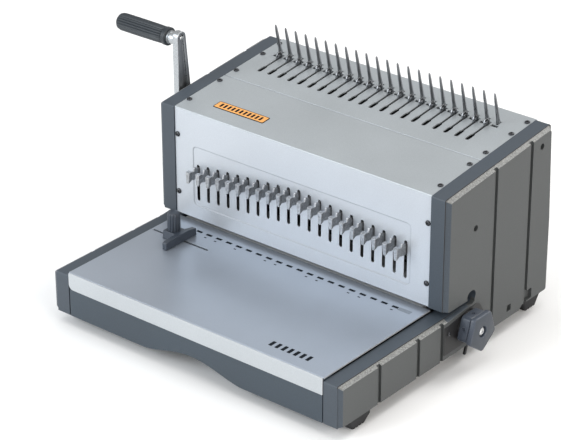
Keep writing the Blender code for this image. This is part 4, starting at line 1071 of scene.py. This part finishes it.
def inner_parts():
    """CAD nodes that keep their shape take their finished materials."""
    dress("base_pan", "blued", 0.4)
    for node in ("punch_guide", "die_plate"):
        dress(node, "bright")
    for node in ("side_plate_left", "side_plate_right", "punch_bar", "drive_shaft", "drive_pinion_left",
                 "drive_pinion_right", "lever_shaft", "margin_shaft", "back_stop"):
        dress(node, "steel")
    dress("gearbox", "cast", 0.6)
    dress("gear_motor", "enamel", 0.6)
    dress("chip_drawer", "dark", 0.5)
    for node in ("power_inlet", "power_switch", "pedal_socket"):
        dress(node, "dark", 0.3)


# ---------------------------------------------------------------- stage, lights and camera

def stage():
    floor_look, _, shader = new_tree("floor_look")
    shader.inputs["Base Color"].default_value = (0.93, 0.93, 0.93, 1.0)
    shader.inputs["Roughness"].default_value = 0.9
    shader.inputs["Specular IOR Level"].default_value = 0.1
    bm = bmesh.new()
    size = 6.0
    corners = [bm.verts.new((a * size, b * size, -0.0002)) for a, b in ((-1, -1), (1, -1), (1, 1), (-1, 1))]
    bm.faces.new(corners)
    mesh = bpy.data.meshes.new("floor")
    bm.to_mesh(mesh)
    bm.free()
    mesh.materials.append(floor_look)
    floor = bpy.data.objects.new("floor", mesh)
    bpy.context.scene.collection.objects.link(floor)


def area_light(name, direction, distance, size, power, colour):
    """A square soft light aimed at the machine from the given direction."""
    data = bpy.data.lights.new(name, "AREA")
    data.shape = "SQUARE"
    data.size = size
    data.energy = power
    data.color = colour
    made = bpy.data.objects.new(name, data)
    aim = Vector((0.0, 0.0, 0.1))
    away = Vector(direction).normalized()
    made.location = aim + away * distance
    made.rotation_mode = "QUATERNION"
    made.rotation_quaternion = away.to_track_quat("Z", "Y")
    bpy.context.scene.collection.objects.link(made)


def lights():
    world = bpy.data.worlds.new("soft_white")
    world.use_nodes = True
    background = world.node_tree.nodes["Background"]
    background.inputs["Color"].default_value = (1.0, 1.0, 1.0, 1.0)
    background.inputs["Strength"].default_value = 0.62
    bpy.context.scene.world = world
    area_light("front_light", (-0.50, -1.0, 0.52), 2.6, 1.6, 46.0, (0.90, 0.955, 1.0))
    area_light("top_light", (0.0, -0.2, 1.0), 2.4, 1.8, 14.0, (1.0, 1.0, 1.0))
    area_light("side_light", (1.0, -0.20, 0.45), 2.6, 1.4, 24.0, (1.0, 0.945, 0.875))
    area_light("rim_light", (0.24, 0.69, 0.69), 2.6, 0.9, 24.0, (1.0, 0.99, 0.97))


def camera():
    """Seen from the front right and above, through a long lens."""
    data = bpy.data.cameras.new("camera")
    data.sensor_width = SENSOR
    data.lens = LENS
    data.clip_end = 50.0
    made = bpy.data.objects.new("camera", data)
    bpy.context.scene.collection.objects.link(made)
    azimuth, elevation, roll = (math.radians(angle) for angle in (AZIMUTH, ELEVATION, ROLL))
    back = Vector((math.sin(azimuth) * math.cos(elevation), -math.cos(azimuth) * math.cos(elevation),
                   math.sin(elevation)))
    right = Vector((math.cos(azimuth), math.sin(azimuth), 0.0))
    up = back.cross(right)
    rolled_right = right * math.cos(roll) + up * math.sin(roll)
    rolled_up = up * math.cos(roll) - right * math.sin(roll)
    target = Vector(AIM) * MM + OFFSET
    made.matrix_world = Matrix.Translation(target + back * DISTANCE) @ Matrix(
        (rolled_right, rolled_up, back)).transposed().to_4x4()
    bpy.context.scene.camera = made


def build():
    for side in (-1, 1):
        side_cap(side)
    front_skirt()
    tray()
    tray_marks()
    front_panel()
    top_covers()
    label_plate()
    rear_sheet()
    feet()
    cover_screws()
    for index in range(SLOT_COUNT):
        die_tab(index)
    tines()
    hooks()
    lever()
    grip()
    knob()
    knob_bracket()
    guide()
    inner_parts()
    stage()
    lights()
    camera()
    bpy.context.scene.view_settings.view_transform = "Standard"


build()
bpy.context.view_layer.update()
